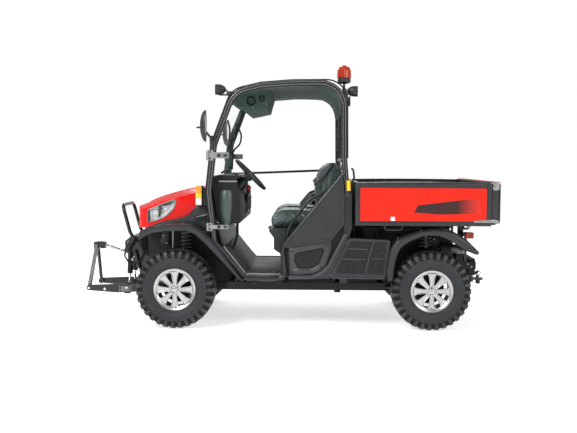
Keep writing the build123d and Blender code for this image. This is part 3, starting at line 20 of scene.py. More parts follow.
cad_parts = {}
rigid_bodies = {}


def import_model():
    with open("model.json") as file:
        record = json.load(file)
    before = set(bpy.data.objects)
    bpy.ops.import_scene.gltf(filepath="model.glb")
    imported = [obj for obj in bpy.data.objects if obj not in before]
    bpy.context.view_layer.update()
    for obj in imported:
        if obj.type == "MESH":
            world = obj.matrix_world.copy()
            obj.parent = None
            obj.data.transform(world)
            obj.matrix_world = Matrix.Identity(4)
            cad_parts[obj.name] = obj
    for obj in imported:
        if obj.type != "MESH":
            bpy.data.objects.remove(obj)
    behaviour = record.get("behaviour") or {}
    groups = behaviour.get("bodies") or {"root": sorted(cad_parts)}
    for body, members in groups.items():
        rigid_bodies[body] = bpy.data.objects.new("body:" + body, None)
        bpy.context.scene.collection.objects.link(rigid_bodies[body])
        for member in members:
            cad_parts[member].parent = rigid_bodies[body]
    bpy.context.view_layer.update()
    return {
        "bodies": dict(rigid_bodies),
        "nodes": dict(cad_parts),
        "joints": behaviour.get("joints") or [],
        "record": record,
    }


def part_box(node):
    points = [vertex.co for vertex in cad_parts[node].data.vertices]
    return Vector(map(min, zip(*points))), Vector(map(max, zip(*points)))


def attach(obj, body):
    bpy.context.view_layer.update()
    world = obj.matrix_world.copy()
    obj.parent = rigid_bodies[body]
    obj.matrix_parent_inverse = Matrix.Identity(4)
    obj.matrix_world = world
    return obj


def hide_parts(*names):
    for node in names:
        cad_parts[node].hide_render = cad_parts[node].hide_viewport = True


LOG = logging.getLogger("utility_vehicle")
MM = 0.001
WELD = 1e-6
COARSE_WELD = 1e-5
SHARP = math.radians(20)
COAT_ROUGHNESS = 0.06
TINT_NOISE = (7, 4)
TINT_SPAN = (0.3, 0.7)
WEAR_NOISE = (23, 5)
WEAR_LOW, WEAR_HIGH = 0.82, 1.18
BUMP_STRENGTH = 0.55
BRUSHED_STRETCH = (0.06, 1, 1)
BEND_ROOM = 0.45
COIL_STEPS = 20
DIAMOND_HEIGHT = 0.62
NET_SHARE = 0.72
NET_SPREAD = 1.3
Point = tuple[float, float, float]
Flat = tuple[float, float]
ORIGIN: Point = (0, 0, 0)
ACROSS: Point = (0, 1, 0)
UP: Point = (0, 0, 1)


# ---- finishes
class Texture(Enum):
    """The small-scale surface that a finish shows."""

    MOULDED = "moulded"
    PAINTED = "painted"
    RUBBER = "rubber"
    VINYL = "vinyl"
    BRUSHED = "brushed"
    CAST = "cast"
    SMOOTH = "smooth"


@dataclass(frozen=True)
class Finish:
    """One surface finish, made into a procedural material the first time it is asked for.

    Its slot names one of the record's material slots; no piece takes it.
    """

    name: str
    colour: Point
    roughness: float
    texture: Texture
    metallic: float = 0.0
    coat: float = 0.0
    grain: float = 900.0
    relief: float = 0.0002
    shade: float = 0.12
    alpha: float = 1.0
    glow: float = 0.0
    gloss: float = 0.5
    fade: Point | None = None
    fade_span: Flat = (0.0, 1.0)
    slot: str = ""

    def material(self) -> bpy.types.Material:
        """The finish as a material, shared by every piece that has it.

        Returns:
            The node material with this finish's name.
        """
        known = bpy.data.materials.get(f"{self.name}_finish")
        if known is not None:
            return known
        made = bpy.data.materials.new(f"{self.name}_finish")
        made.use_nodes = True
        nodes = made.node_tree.nodes
        shader = nodes["Principled BSDF"]
        shader.inputs["Metallic"].default_value = self.metallic
        shader.inputs["Coat Weight"].default_value = self.coat
        shader.inputs["Coat Roughness"].default_value = COAT_ROUGHNESS
        shader.inputs["Specular IOR Level"].default_value = self.gloss
        shader.inputs["Alpha"].default_value = self.alpha
        if self.glow:
            shader.inputs["Emission Color"].default_value = (*self.colour, 1)
            shader.inputs["Emission Strength"].default_value = self.glow
        place = nodes.new("ShaderNodeTexCoord").outputs["Object"]
        self._tint(made.node_tree, shader, place)
        self._wear(made.node_tree, shader, place)
        self._bump(made.node_tree, shader, place)
        return made

    def _noise(self, tree: bpy.types.NodeTree, place: bpy.types.NodeSocket, scale: float, detail: float,
               stretch: Point = (1, 1, 1)) -> bpy.types.NodeSocket:
        """A noise value, 0 to 1.

        Args:
            tree: the material's nodes.
            place: the coordinates it reads.
            scale: how fine it is, per metre.
            detail: how many finer layers it has.
            stretch: the pattern's scale along each axis.

        Returns:
            The noise's factor.
        """
        mapping = tree.nodes.new("ShaderNodeMapping")
        mapping.inputs["Scale"].default_value = stretch
        tree.links.new(place, mapping.inputs["Vector"])
        noise = tree.nodes.new("ShaderNodeTexNoise")
        noise.inputs["Scale"].default_value = scale
        noise.inputs["Detail"].default_value = detail
        tree.links.new(mapping.outputs["Vector"], noise.inputs["Vector"])
        return noise.outputs["Fac"]

    def _tint(self, tree: bpy.types.NodeTree, shader: bpy.types.Node, place: bpy.types.NodeSocket) -> None:
        """Lets the colour drift a little over the surface.

        Args:
            tree: the material's nodes.
            shader: the node that shades it.
            place: the coordinates it reads.
        """
        ramp = tree.nodes.new("ShaderNodeValToRGB")
        low, high = 1 - self.shade, 1 + self.shade
        for element, position, share in zip(ramp.color_ramp.elements, TINT_SPAN, (low, high)):
            element.position = position
            element.color = (*[min(1, channel * share) for channel in self.colour], 1)
        tree.links.new(self._noise(tree, place, *TINT_NOISE), ramp.inputs["Fac"])
        colour = ramp.outputs["Color"]
        if self.fade is not None:
            split = tree.nodes.new("ShaderNodeSeparateXYZ")
            tree.links.new(place, split.inputs["Vector"])
            span = tree.nodes.new("ShaderNodeMapRange")
            span.inputs["From Min"].default_value, span.inputs["From Max"].default_value = self.fade_span
            tree.links.new(split.outputs["X"], span.inputs["Value"])
            blend = tree.nodes.new("ShaderNodeMix")
            blend.data_type = "RGBA"
            blend.inputs["B"].default_value = (*self.fade, 1)
            tree.links.new(span.outputs["Result"], blend.inputs["Factor"])
            tree.links.new(colour, blend.inputs["A"])
            colour = blend.outputs["Result"]
        tree.links.new(colour, shader.inputs["Base Color"])

    def _wear(self, tree: bpy.types.NodeTree, shader: bpy.types.Node, place: bpy.types.NodeSocket) -> None:
        """Lets the roughness drift, as handled and weathered surfaces do.

        Args:
            tree: the material's nodes.
            shader: the node that shades it.
            place: the coordinates it reads.
        """
        spread = tree.nodes.new("ShaderNodeMapRange")
        spread.inputs["To Min"].default_value = max(0.02, self.roughness * WEAR_LOW)
        spread.inputs["To Max"].default_value = min(1.0, self.roughness * WEAR_HIGH)
        tree.links.new(self._noise(tree, place, *WEAR_NOISE), spread.inputs["Value"])
        tree.links.new(spread.outputs["Result"], shader.inputs["Roughness"])

    def _bump(self, tree: bpy.types.NodeTree, shader: bpy.types.Node, place: bpy.types.NodeSocket) -> None:
        """Raises the finish's own small relief.

        Args:
            tree: the material's nodes.
            shader: the node that shades it.
            place: the coordinates it reads.
        """
        if self.texture is Texture.SMOOTH:
            return
        bump = tree.nodes.new("ShaderNodeBump")
        bump.inputs["Strength"].default_value = BUMP_STRENGTH
        bump.inputs["Distance"].default_value = self.relief
        if self.texture in (Texture.VINYL, Texture.MOULDED):
            cells = tree.nodes.new("ShaderNodeTexVoronoi")
            cells.feature = "DISTANCE_TO_EDGE" if self.texture is Texture.VINYL else "F1"
            cells.inputs["Scale"].default_value = self.grain
            tree.links.new(place, cells.inputs["Vector"])
            height = cells.outputs["Distance"]
        elif self.texture is Texture.BRUSHED:
            height = self._noise(tree, place, self.grain, 3, BRUSHED_STRETCH)
        else:
            height = self._noise(tree, place, self.grain, 6)
        tree.links.new(height, bump.inputs["Height"])
        tree.links.new(bump.outputs["Normal"], shader.inputs["Normal"])


FRAME_BLACK = Finish(
    "frame_black", (0.010, 0.0105, 0.011), 0.30, Texture.PAINTED, coat=0.2, gloss=0.4, grain=260,
    relief=0.00008, slot="frame_black")
CHASSIS_BLACK = Finish("chassis_black", (0.006, 0.006, 0.0065), 0.5, Texture.PAINTED, gloss=0.3, grain=240)
PANEL_BLACK = Finish(
    "panel_black", (0.021, 0.022, 0.024), 0.42, Texture.MOULDED, gloss=0.4, grain=1100, relief=0.0003,
    slot="frame_black")
DEEP_BLACK = Finish(
    "deep_black", (0.005, 0.005, 0.0055), 0.55, Texture.MOULDED, gloss=0.3, grain=800, relief=0.0003,
    slot="black_plastic")
CAB_GREY = Finish(
    "cab_grey", (0.055, 0.086, 0.078), 0.75, Texture.MOULDED, gloss=0.08, grain=1000, relief=0.0003,
    slot="interior_grey")
DARK_GREY = Finish(
    "dark_grey", (0.009, 0.0145, 0.0135), 0.42, Texture.MOULDED, gloss=0.45, grain=900, relief=0.0003,
    slot="black_plastic")
HEADLINER = Finish(
    "headliner", (0.060, 0.092, 0.083), 0.9, Texture.RUBBER, gloss=0.2, grain=1600, relief=0.0006,
    slot="interior_grey")
SEAT_VINYL = Finish(
    "seat_vinyl", (0.046, 0.072, 0.067), 0.36, Texture.VINYL, gloss=0.5, grain=420, relief=0.0005,
    slot="seat_vinyl")
HOOD_RED = Finish(
    "hood_red", (0.74, 0.006, 0.002), 0.26, Texture.PAINTED, coat=0.2, gloss=0.2, grain=160,
    relief=0.00004, shade=0.04, slot="hood_red")
BED_RED = Finish(
    "bed_red", (0.76, 0.018, 0.006), 0.34, Texture.PAINTED, coat=0.08, gloss=0.15, grain=160,
    relief=0.00005, shade=0.03, slot="bed_red")
ALLOY = Finish(
    "alloy", (0.50, 0.50, 0.49), 0.31, Texture.CAST, metallic=1.0, grain=500, relief=0.0001, shade=0.1,
    slot="silver_alloy")
STEEL = Finish(
    "zinc_steel", (0.30, 0.305, 0.31), 0.42, Texture.BRUSHED, metallic=0.85, grain=420, relief=0.0001,
    slot="zinc_steel")
CHROME = Finish(
    "chrome", (0.74, 0.74, 0.74), 0.09, Texture.SMOOTH, metallic=1.0, shade=0.02, slot="zinc_steel")
IRON = Finish(
    "cast_iron", (0.028, 0.029, 0.031), 0.6, Texture.CAST, metallic=0.4, grain=300, relief=0.0008,
    slot="frame_black")
TYRE_BLACK = Finish(
    "tyre_black", (0.017, 0.0185, 0.020), 0.6, Texture.RUBBER, gloss=0.4, grain=700, relief=0.0004,
    shade=0.22, slot="tyre_rubber")
# Tyre rubber painted lighter and warmer than the carcass for the lugs: a painted highlight on the raised
# tread.
TREAD_PAINTED_HIGHLIGHT = Finish(
    "tread_painted_highlight", (0.027, 0.0258, 0.024), 0.5, Texture.RUBBER, gloss=0.5, grain=500, relief=0.0006,
    shade=0.45, slot="tyre_rubber")
# Tyre rubber painted near black for the band between the lugs: painted shade in the grooves.
GROOVE_PAINTED_SHADE = Finish(
    "groove_painted_shade", (0.006, 0.006, 0.0062), 0.7, Texture.RUBBER, gloss=0.25, grain=500, relief=0.0004,
    slot="tyre_rubber")
GLASS = Finish("clear_glass", (0.85, 0.92, 0.90), 0.02, Texture.SMOOTH, gloss=0.3, alpha=0.035, shade=0.01)
LENS = Finish(
    "lamp_lens", (0.9, 0.92, 0.94), 0.03, Texture.SMOOTH, gloss=0.3, alpha=0.03, shade=0.01,
    slot="lamp_lens")
REFLECTOR = Finish(
    "reflector", (0.80, 0.81, 0.82), 0.28, Texture.SMOOTH, metallic=1.0, shade=0.03, slot="silver_alloy")
LAMP_WHITE = Finish(
    "lamp_white", (0.66, 0.66, 0.65), 0.3, Texture.SMOOTH, coat=0.3, shade=0.02, slot="lamp_lens")
AMBER = Finish("amber_lens", (0.34, 0.026, 0.0004), 0.14, Texture.SMOOTH, coat=0.3, gloss=0.3, shade=0.25)
ORANGE = Finish("marker_orange", (0.80, 0.26, 0.012), 0.2, Texture.SMOOTH, coat=0.4, shade=0.03)
YELLOW = Finish(
    "marker_yellow", (0.78, 0.52, 0.006), 0.3, Texture.SMOOTH, coat=0.3, shade=0.03, slot="amber_lens")
KNOB_RED = Finish(
    "knob_red", (0.55, 0.012, 0.006), 0.3, Texture.SMOOTH, coat=0.4, shade=0.05, slot="amber_lens")
MIRROR = Finish(
    "mirror_silver", (0.85, 0.87, 0.88), 0.03, Texture.SMOOTH, metallic=1.0, shade=0.01,
    slot="silver_alloy")
STRIPE_BLACK = Finish(
    "bed_stripe", (0.030, 0.008, 0.007), 0.34, Texture.PAINTED, coat=0.2, gloss=0.35, grain=160,
    relief=0.00005, fade=(0.76, 0.018, 0.006), fade_span=(1.34, 1.56), slot="frame_black")
FLOOR_MAT = Finish(
    "floor_mat", (0.026, 0.040, 0.034), 0.5, Texture.RUBBER, gloss=0.4, grain=600, relief=0.0004,
    slot="black_plastic")
BLANK_PLATE = Finish(
    "blank_plate", (0.70, 0.70, 0.68), 0.45, Texture.PAINTED, grain=300, relief=0.00003, shade=0.04,
    slot="lamp_lens")
LAMP_BOWL = Finish("lamp_bowl", (0.86, 0.87, 0.88), 0.3, Texture.SMOOTH, shade=0.04, slot="silver_alloy")
FENDER_BLACK = Finish(
    "fender_black", (0.019, 0.0205, 0.0225), 0.36, Texture.MOULDED, gloss=0.42, grain=1300,
    relief=0.00025, slot="frame_black")
# A black plastic a little lighter than the arches: the fender tops' own grey, and a painted highlight on the
# rocker roll.
FENDER_TOP = Finish(
    "fender_top", (0.034, 0.037, 0.040), 0.42, Texture.MOULDED, gloss=0.45, grain=1300, relief=0.00025,
    slot="frame_black")
MESH_GREY = Finish(
    "mesh_grey", (0.075, 0.085, 0.085), 0.4, Texture.PAINTED, gloss=0.5, grain=300, relief=0.00005,
    slot="frame_black")
LINK_GREY = Finish(
    "link_grey", (0.17, 0.175, 0.18), 0.4, Texture.BRUSHED, metallic=0.5, grain=400, relief=0.0001,
    slot="silver_alloy")
# A pale glossy grey for trim bars, pads and mat edges, and for the painted highlight lines along the cab
# tubes.
PALE_GREY_AND_HIGHLIGHT = Finish(
    "pale_grey_and_highlight", (0.20, 0.205, 0.21), 0.24, Texture.SMOOTH, coat=0.5, shade=0.05, slot="zinc_steel")


# ---- forming
def sides_of(outline: Sequence[Flat]) -> list[tuple[Flat, Flat]]:
    """The sides of a closed outline, each as its two ends."""
    return list(zip(outline, [*outline[1:], outline[0]]))


def at_y(points: Sequence[Flat], y: float) -> list[Point]:
    """The places of an X-Z line, all at one Y."""
    return [(x, y, z) for x, z in points]


def flipped(at: Vector) -> Vector:
    """The same place on the vehicle's other side."""
    return Vector((at.x, -at.y, at.z))


def sewn(depth: float, off: float, width: float) -> float:
    """How deep a sewn line pulls a point in that lies some way off the line."""
    return depth * math.exp(-(off / width) ** 2)


def placed(name: str, data: bpy.types.ID) -> bpy.types.Object:
    """A new object in the scene.

    Args:
        name: the object's name.
        data: its mesh, light or camera.

    Returns:
        The object.
    """
    made = bpy.data.objects.new(name, data)
    bpy.context.scene.collection.objects.link(made)
    return made


def within(outline: Sequence[Flat], x: float, z: float) -> bool:
    """Whether a point lies inside an outline.

    Args:
        outline: the corners, as (x, z).
        x: the point's X.
        z: the point's Z.

    Returns:
        True when it is inside.
    """
    inside = False
    for (x0, z0), (x1, z1) in sides_of(outline):
        if (z0 > z) != (z1 > z) and x < x0 + (z - z0) * (x1 - x0) / (z1 - z0):
            inside = not inside
    return inside


def along(points: Sequence[Flat], share: float) -> Flat:
    """The point that lies a share of the way along a run of straight lines.

    Args:
        points: the corners of the run.
        share: how far along, 0 to 1.

    Returns:
        The point.
    """
    runs = [math.dist(a, b) for a, b in zip(points, points[1:])]
    left = share * sum(runs)
    for (start, end), run in zip(zip(points, points[1:]), runs):
        if left <= run:
            t = left / run
            return (start[0] + (end[0] - start[0]) * t, start[1] + (end[1] - start[1]) * t)
        left -= run
    return points[-1]


def height_at(points: Sequence[Flat], x: float) -> float:
    """The height of a line of (x, z) points, ordered by x, at one x.

    Args:
        points: the line's corners.
        x: where the height is wanted.

    Returns:
        The height.
    """
    for (x0, z0), (x1, z1) in zip(points, points[1:]):
        if x <= x1:
            return z0 + (z1 - z0) * max(0.0, (x - x0) / (x1 - x0))
    return points[-1][1]


def between(start: Flat, end: Flat, share: float, y_start: float, y_end: float) -> Point:
    """A place between two X-Z places, each at its own Y."""
    return (start[0] + (end[0] - start[0]) * share, y_start + (y_end - y_start) * share,
            start[1] + (end[1] - start[1]) * share)


def sorted_pair(one: float, other: float) -> Flat:
    """Two numbers, the lower one first."""
    return (min(one, other), max(one, other))


def offset_line(points: Sequence[Flat], shift: float) -> list[Flat]:
    """A line of (x, z) points moved sideways, its corners kept.

    Args:
        points: the line's corners.
        shift: how far it moves.

    Returns:
        The moved line.
    """
    moved = []
    for number, here in enumerate(points):
        before, after = points[max(0, number - 1)], points[min(len(points) - 1, number + 1)]
        legs = [Vector((b[0] - a[0], b[1] - a[1])) for a, b in ((before, here), (here, after)) if a != b]
        normals = [Vector((-leg.y, leg.x)).normalized() for leg in legs]
        bisector = sum(normals, Vector((0, 0))).normalized()
        moved.append((here[0] + bisector.x * shift / bisector.dot(normals[0]),
                      here[1] + bisector.y * shift / bisector.dot(normals[0])))
    return moved


class Form:
    """A mesh in the making.  Every move takes millimetres and adds to the same mesh."""

    def __init__(self) -> None:
        """Starts an empty mesh."""
        self.bm = bmesh.new()

    @staticmethod
    def _point(at: Point) -> Vector:
        """A point in metres."""
        return Vector(at) * MM

    @property
    def _all(self) -> list[bmesh.types.BMVert | bmesh.types.BMEdge | bmesh.types.BMFace]:
        """Every point, edge and face so far."""
        return [*self.bm.verts, *self.bm.edges, *self.bm.faces]

    def welded(self, reach: float = WELD) -> Form:
        """Makes one point of those that lie within a reach, in metres."""
        bmesh.ops.remove_doubles(self.bm, verts=self.bm.verts[:], dist=reach)
        return self

    def outward(self) -> Form:
        """Turns every face outwards."""
        bmesh.ops.recalc_face_normals(self.bm, faces=self.bm.faces[:])
        return self

    def sliced(self, at: Point, normal: Point, trim: bool = False) -> None:
        """Cuts edges and faces where a plane crosses them.

        Args:
            at: a point of the plane.
            normal: the plane's direction.
            trim: whether what lies beyond the plane is taken away.
        """
        bmesh.ops.bisect_plane(self.bm, geom=self._all, dist=WELD, plane_co=self._point(at),
                               plane_no=Vector(normal).normalized(), clear_outer=trim)

    def chamfered(self, edges: Iterable[bmesh.types.BMEdge], width: float, segments: int = 2) -> None:
        """Rounds the given edges."""
        bmesh.ops.bevel(self.bm, geom=list(edges), offset=width * MM, segments=segments, profile=0.5,
                        affect="EDGES", clamp_overlap=True, material=-1)

    def prism(self, corners: Sequence[Point], shift: Point) -> list[bmesh.types.BMVert]:
        """Adds a solid between a flat face and its copy.

        Args:
            corners: the corners of the face.
            shift: how far off the copy is.

        Returns:
            The points of both.
        """
        verts = [self.bm.verts.new(self._point(corner)) for corner in corners]
        face = self.bm.faces.new(verts)
        made = bmesh.ops.extrude_face_region(self.bm, geom=[face])["geom"]
        moved = [v for v in made if isinstance(v, bmesh.types.BMVert)]
        bmesh.ops.translate(self.bm, verts=moved, vec=self._point(shift))
        return [*verts, *moved]

    def block(self, low: Point, high: Point, edge: float = 0.0, segments: int = 2) -> Form:
        """Adds a block, its edges rounded.

        Args:
            low: its lowest corner.
            high: its highest corner.
            edge: the radius of its edges.
            segments: how many faces round each edge.

        Returns:
            This form.
        """
        size = [abs(b - a) * MM for a, b in zip(low, high)]
        middle = [(a + b) / 2 * MM for a, b in zip(low, high)]
        place = Matrix.Translation(middle) @ Matrix.Diagonal((*size, 1))
        made = bmesh.ops.create_cube(self.bm, size=1, matrix=place)["verts"]
        self.round_edges(made, edge, segments)
        return self

    def round_edges(self, verts: Iterable[bmesh.types.BMVert], edge: float, segments: int = 2) -> None:
        """Rounds every edge between the given points.

        Args:
            verts: the points of one shape.
            edge: the radius.
            segments: how many faces round each edge.
        """
        if edge <= 0:
            return
        chosen = set(verts)
        edges = {e for v in chosen for e in v.link_edges if e.other_vert(v) in chosen}
        self.chamfered([e for e in edges if e.calc_face_angle(0) > SHARP], edge, segments)

    def bar(self, start: Point, end: Point, radius: float, tip: float | None = None, sides: int = 20,
            edge: float = 0.0) -> Form:
        """Adds a round bar or a cone between two points.

        Args:
            start: the middle of its first end.
            end: the middle of its other end.
            radius: its radius at the start.
            tip: its radius at the end, the same when left out.
            sides: how many faces round it.
            edge: the radius of its end edges.

        Returns:
            This form.
        """
        run = self._point(end) - self._point(start)
        turn = run.to_track_quat("Z", "Y").to_matrix().to_4x4()
        place = Matrix.Translation(self._point(start) + run / 2) @ turn
        far = radius if tip is None else tip
        made = bmesh.ops.create_cone(
            self.bm, cap_ends=True, segments=sides, radius1=radius * MM, radius2=far * MM,
            depth=run.length, matrix=place)["verts"]
        if edge > 0:
            chosen = set(made)
            rims = {e for v in chosen for e in v.link_edges if any(len(f.verts) > 4 for f in e.link_faces)}
            self.chamfered(rims, edge)
        return self

    def studs(self, places: Sequence[Flat], y: Flat, radius: float, tip: float | None = None, sides: int = 20,
              edge: float = 0.0) -> Form:
        """Adds a bar along Y at each of several places.

        Args:
            places: the (x, z) of each.
            y: where each begins and ends.
            radius: the radius at the beginning.
            tip: the radius at the end, the same when left out.
            sides: how many faces round each.
            edge: the radius of their end edges.

        Returns:
            This form.
        """
        for x, z in places:
            self.bar((x, y[0], z), (x, y[1], z), radius, tip, sides, edge)
        return self

    def ball(self, centre: Point, radius: float, rings: int = 12, squash: Point = (1, 1, 1)) -> Form:
        """Adds a sphere, or an ellipsoid when it is squashed.

        Args:
            centre: its middle.
            radius: its radius before it is squashed.
            rings: how many faces from pole to pole.
            squash: its scale along each axis.

        Returns:
            This form.
        """
        place = Matrix.Translation(self._point(centre)) @ Matrix.Diagonal((*squash, 1))
        bmesh.ops.create_uvsphere(
            self.bm, u_segments=rings * 2, v_segments=rings, radius=radius * MM, matrix=place)
        return self

    def turned(self, profile: Sequence[Flat], centre: Point, axis: Point = ACROSS, steps: int = 48,
               closed: bool = True) -> Form:
        """Adds a solid of revolution.

        Args:
            profile: (radius, distance along the axis) pairs, in order round the section.
            centre: a point on the axis, where the distance is zero.
            axis: the direction of the axis.
            steps: how many faces round it.
            closed: whether the section's last point joins its first.

        Returns:
            This form.
        """
        along = Vector(axis).normalized()
        across = along.orthogonal().normalized()
        origin = self._point(centre)
        verts = [self.bm.verts.new(origin + (across * r + along * d) * MM) for r, d in profile]
        pairs = list(zip(verts, verts[1:])) + ([(verts[-1], verts[0])] if closed else [])
        edges = [self.bm.edges.new(pair) for pair in pairs]
        bmesh.ops.spin(
            self.bm, geom=[*verts, *edges], cent=origin, axis=along, dvec=(0, 0, 0), angle=math.tau,
            steps=steps, use_merge=True)
        return self.welded()

    def plate(self, outline: Sequence[Flat], y: Flat, edge: float = 0.0, segments: int = 2) -> Form:
        """Adds a plate with an X-Z outline between two Y values.

        Args:
            outline: its corners as (x, z).
            y: its two Y values.
            edge: the radius of all its edges.
            segments: how many faces round each edge.

        Returns:
            This form.
        """
        self.round_edges(self.prism(at_y(outline, y[0]), (0, y[1] - y[0], 0)), edge, segments)
        return self

    def pipe(
            self, points: Sequence[Point], radius: float, bend: float = 0.0, sides: int = 14,
            turns: int = 6) -> Form:
        """Adds a round tube bent along straight runs, its corners rounded.

        Args:
            points: the route's corners.
            radius: the tube's radius.
            bend: the radius of the bends, less where a run is short.
            sides: how many faces round the tube.
            turns: how many steps in each bend.

        Returns:
            This form.
        """
        route = [self._point(p) for p in points]
        path = [route[0]]
        for before, here, after in zip(route, route[1:], route[2:]):
            into, out = (here - before), (after - here)
            half_turn = into.angle(out) / 2
            if bend <= 0 or half_turn < 1e-3:
                path.append(here)
                continue
            room = BEND_ROOM * min(into.length, out.length) / math.tan(half_turn)
            arc = min(bend * MM, room)
            axis = into.cross(out).normalized()
            start = here - into.normalized() * arc * math.tan(half_turn)
            centre = start + axis.cross(into.normalized()) * arc
            for step in range(turns + 1):
                spin = Matrix.Rotation(2 * half_turn * step / turns, 3, axis)
                path.append(centre + spin @ (start - centre))
        path.append(route[-1])
        self._sweep(path, radius * MM, sides)
        return self

    def _sweep(self, path: Sequence[Vector], radius: float, sides: int) -> None:
        """Carries a circle along a path and bridges it, closed at both ends.

        Args:
            path: the route, in metres.
            radius: the circle's radius, in metres.
            sides: how many faces round it.
        """
        heading = (path[1] - path[0]).normalized()
        normal = heading.orthogonal().normalized()
        previous: list[bmesh.types.BMEdge] = []
        for number, here in enumerate(path):
            before = path[max(0, number - 1)]
            after = path[min(len(path) - 1, number + 1)]
            tangent = (after - before).normalized()
            normal = (normal - tangent * normal.dot(tangent)).normalized()
            side = tangent.cross(normal)
            place = Matrix((normal, side, tangent)).transposed().to_4x4()
            place.translation = here
            end = number in (0, len(path) - 1)
            made = bmesh.ops.create_circle(
                self.bm, cap_ends=end, radius=radius, segments=sides, matrix=place)["verts"]
            chosen = set(made)
            edges = list({e for v in made for e in v.link_edges if e.other_vert(v) in chosen})
            if previous:
                bmesh.ops.bridge_loops(self.bm, edges=[*previous, *edges])
            previous = edges

    def skin(self, across: int, along: int, rule: Callable[[float, float], Point]) -> Form:
        """Adds a curved sheet: a flat grid whose points a rule then places.

        Args:
            across: how many faces it has across.
            along: how many faces it has along.
            rule: gives the place of a point from how far across and along it is, each 0 to 1.

        Returns:
            This form.
        """
        for vert in bmesh.ops.create_grid(self.bm, x_segments=across, y_segments=along, size=1)["verts"]:
            vert.co = self._point(rule((vert.co.x + 1) / 2, (vert.co.y + 1) / 2))
        return self

    def coil(self, low: Point, high: Point, radius: float, wire: float, turns: float) -> Form:
        """Adds a coil spring between two points.

        Args:
            low: the middle of its lower end.
            high: the middle of its upper end.
            radius: the coil's radius to the middle of the wire.
            wire: the wire's radius.
            turns: how many turns it makes.

        Returns:
            This form.
        """
        axis = self._point(high) - self._point(low)
        across = axis.orthogonal().normalized()
        steps = int(turns * COIL_STEPS)
        turn = Matrix((axis.normalized(), across, axis.normalized().cross(across))).transposed().to_4x4()
        turn.translation = self._point(low) + across * radius * MM
        made = bmesh.ops.create_circle(
            self.bm, cap_ends=False, radius=wire * MM, segments=8, matrix=turn)["verts"]
        edges = list({e for v in made for e in v.link_edges})
        bmesh.ops.spin(self.bm, geom=[*made, *edges], cent=self._point(low), axis=axis.normalized(),
                       dvec=axis / steps, angle=math.tau * turns, steps=steps, use_merge=False)
        bmesh.ops.holes_fill(self.bm, edges=[e for e in self.bm.edges if e.is_boundary], sides=8)
        return self

    def lattice(self, outline: Sequence[Flat], y: float, pitch: float, wire: float) -> Form:
        """Adds a flat diamond mesh inside a convex X-Z outline.

        Args:
            outline: its corners as (x, z).
            y: where it lies.
            pitch: the side of one diamond.
            wire: the width of its strands.

        Returns:
            This form.
        """
        xs, zs = [x for x, _ in outline], [z for _, z in outline]
        middle = ((min(xs) + max(xs)) / 2, (min(zs) + max(zs)) / 2)
        half = (max(xs) - min(xs) + max(zs) - min(zs)) / 2 * NET_SHARE
        cells = int(2 * half / pitch)
        place = (Matrix.Translation(self._point((middle[0], y, middle[1])))
                 @ Matrix.Diagonal((1, 1, DIAMOND_HEIGHT, 1)) @ Matrix.Rotation(math.radians(45), 4, "Y")
                 @ Matrix.Rotation(math.radians(90), 4, "X"))
        net = Form()
        size = half * MM * NET_SPREAD
        bmesh.ops.create_grid(net.bm, x_segments=cells, y_segments=cells, size=size, matrix=place)
        outwards = math.copysign(1, sum(a[0] * b[1] - b[0] * a[1] for a, b in sides_of(outline)))
        for (x, z), (far_x, far_z) in sides_of(outline):
            net.sliced((x, y, z), ((far_z - z) * outwards, 0, (x - far_x) * outwards), trim=True)
        bmesh.ops.wireframe(net.bm, faces=net.bm.faces[:], thickness=wire * MM, offset=0, use_replace=True,
                            use_boundary=True, use_even_offset=False)
        return self.joined(net)

    def parted(self, outline: Sequence[Flat], y: Flat) -> Form:
        """Takes the surface inside an X-Z outline, between two Y values, out of this form.

        Args:
            outline: the corners of what is taken out, as (x, z).
            y: its two Y values, the lower first.

        Returns:
            What was taken out, as a form of its own.
        """
        for (x, z), (far_x, far_z) in sides_of(outline):
            self.sliced((x, 0, z), (far_z - z, 0, x - far_x))
        for value in y:
            self.sliced((0, value, 0), ACROSS)
        self.bm.faces.index_update()
        chosen = set()
        for face in self.bm.faces:
            at = face.calc_center_median() / MM
            if y[0] < at.y < y[1] and within(outline, at.x, at.z):
                chosen.add(face.index)
        taken = Form()
        taken.bm.free()
        taken.bm = self.bm.copy()
        taken.bm.faces.ensure_lookup_table()
        self.bm.faces.ensure_lookup_table()
        bmesh.ops.delete(taken.bm, geom=[f for f in taken.bm.faces if f.index not in chosen], context="FACES")
        bmesh.ops.delete(self.bm, geom=[f for f in self.bm.faces if f.index in chosen], context="FACES")
        return taken

    def mirrored(self) -> Form:
        """Adds the other side's copy of everything so far.

        Returns:
            This form.
        """
        made = bmesh.ops.duplicate(self.bm, geom=self._all)["geom"]
        verts = [v for v in made if isinstance(v, bmesh.types.BMVert)]
        faces = [f for f in made if isinstance(f, bmesh.types.BMFace)]
        bmesh.ops.scale(self.bm, verts=verts, vec=(1, -1, 1))
        bmesh.ops.reverse_faces(self.bm, faces=faces)
        return self

    def ring_of(self, count: int, centre: Point, axis: Point, start: float = 0.0) -> Form:
        """Repeats everything so far evenly round an axis.

        Args:
            count: how many there are in the end.
            centre: a point on the axis.
            axis: its direction.
            start: the first one's angle in degrees.

        Returns:
            This form.
        """
        origin = self._point(centre)
        base = self._all
        first = Matrix.Rotation(math.radians(start), 3, axis)
        bmesh.ops.rotate(self.bm, verts=self.bm.verts[:], cent=origin, matrix=first)
        for number in range(1, count):
            made = bmesh.ops.duplicate(self.bm, geom=base)["geom"]
            verts = [v for v in made if isinstance(v, bmesh.types.BMVert)]
            turn = Matrix.Rotation(math.tau * number / count, 3, axis)
            bmesh.ops.rotate(self.bm, verts=verts, cent=origin, matrix=turn)
        return self

    def moved(self, shift: Point) -> Form:
        """Moves everything so far."""
        bmesh.ops.translate(self.bm, verts=self.bm.verts[:], vec=self._point(shift))
        return self

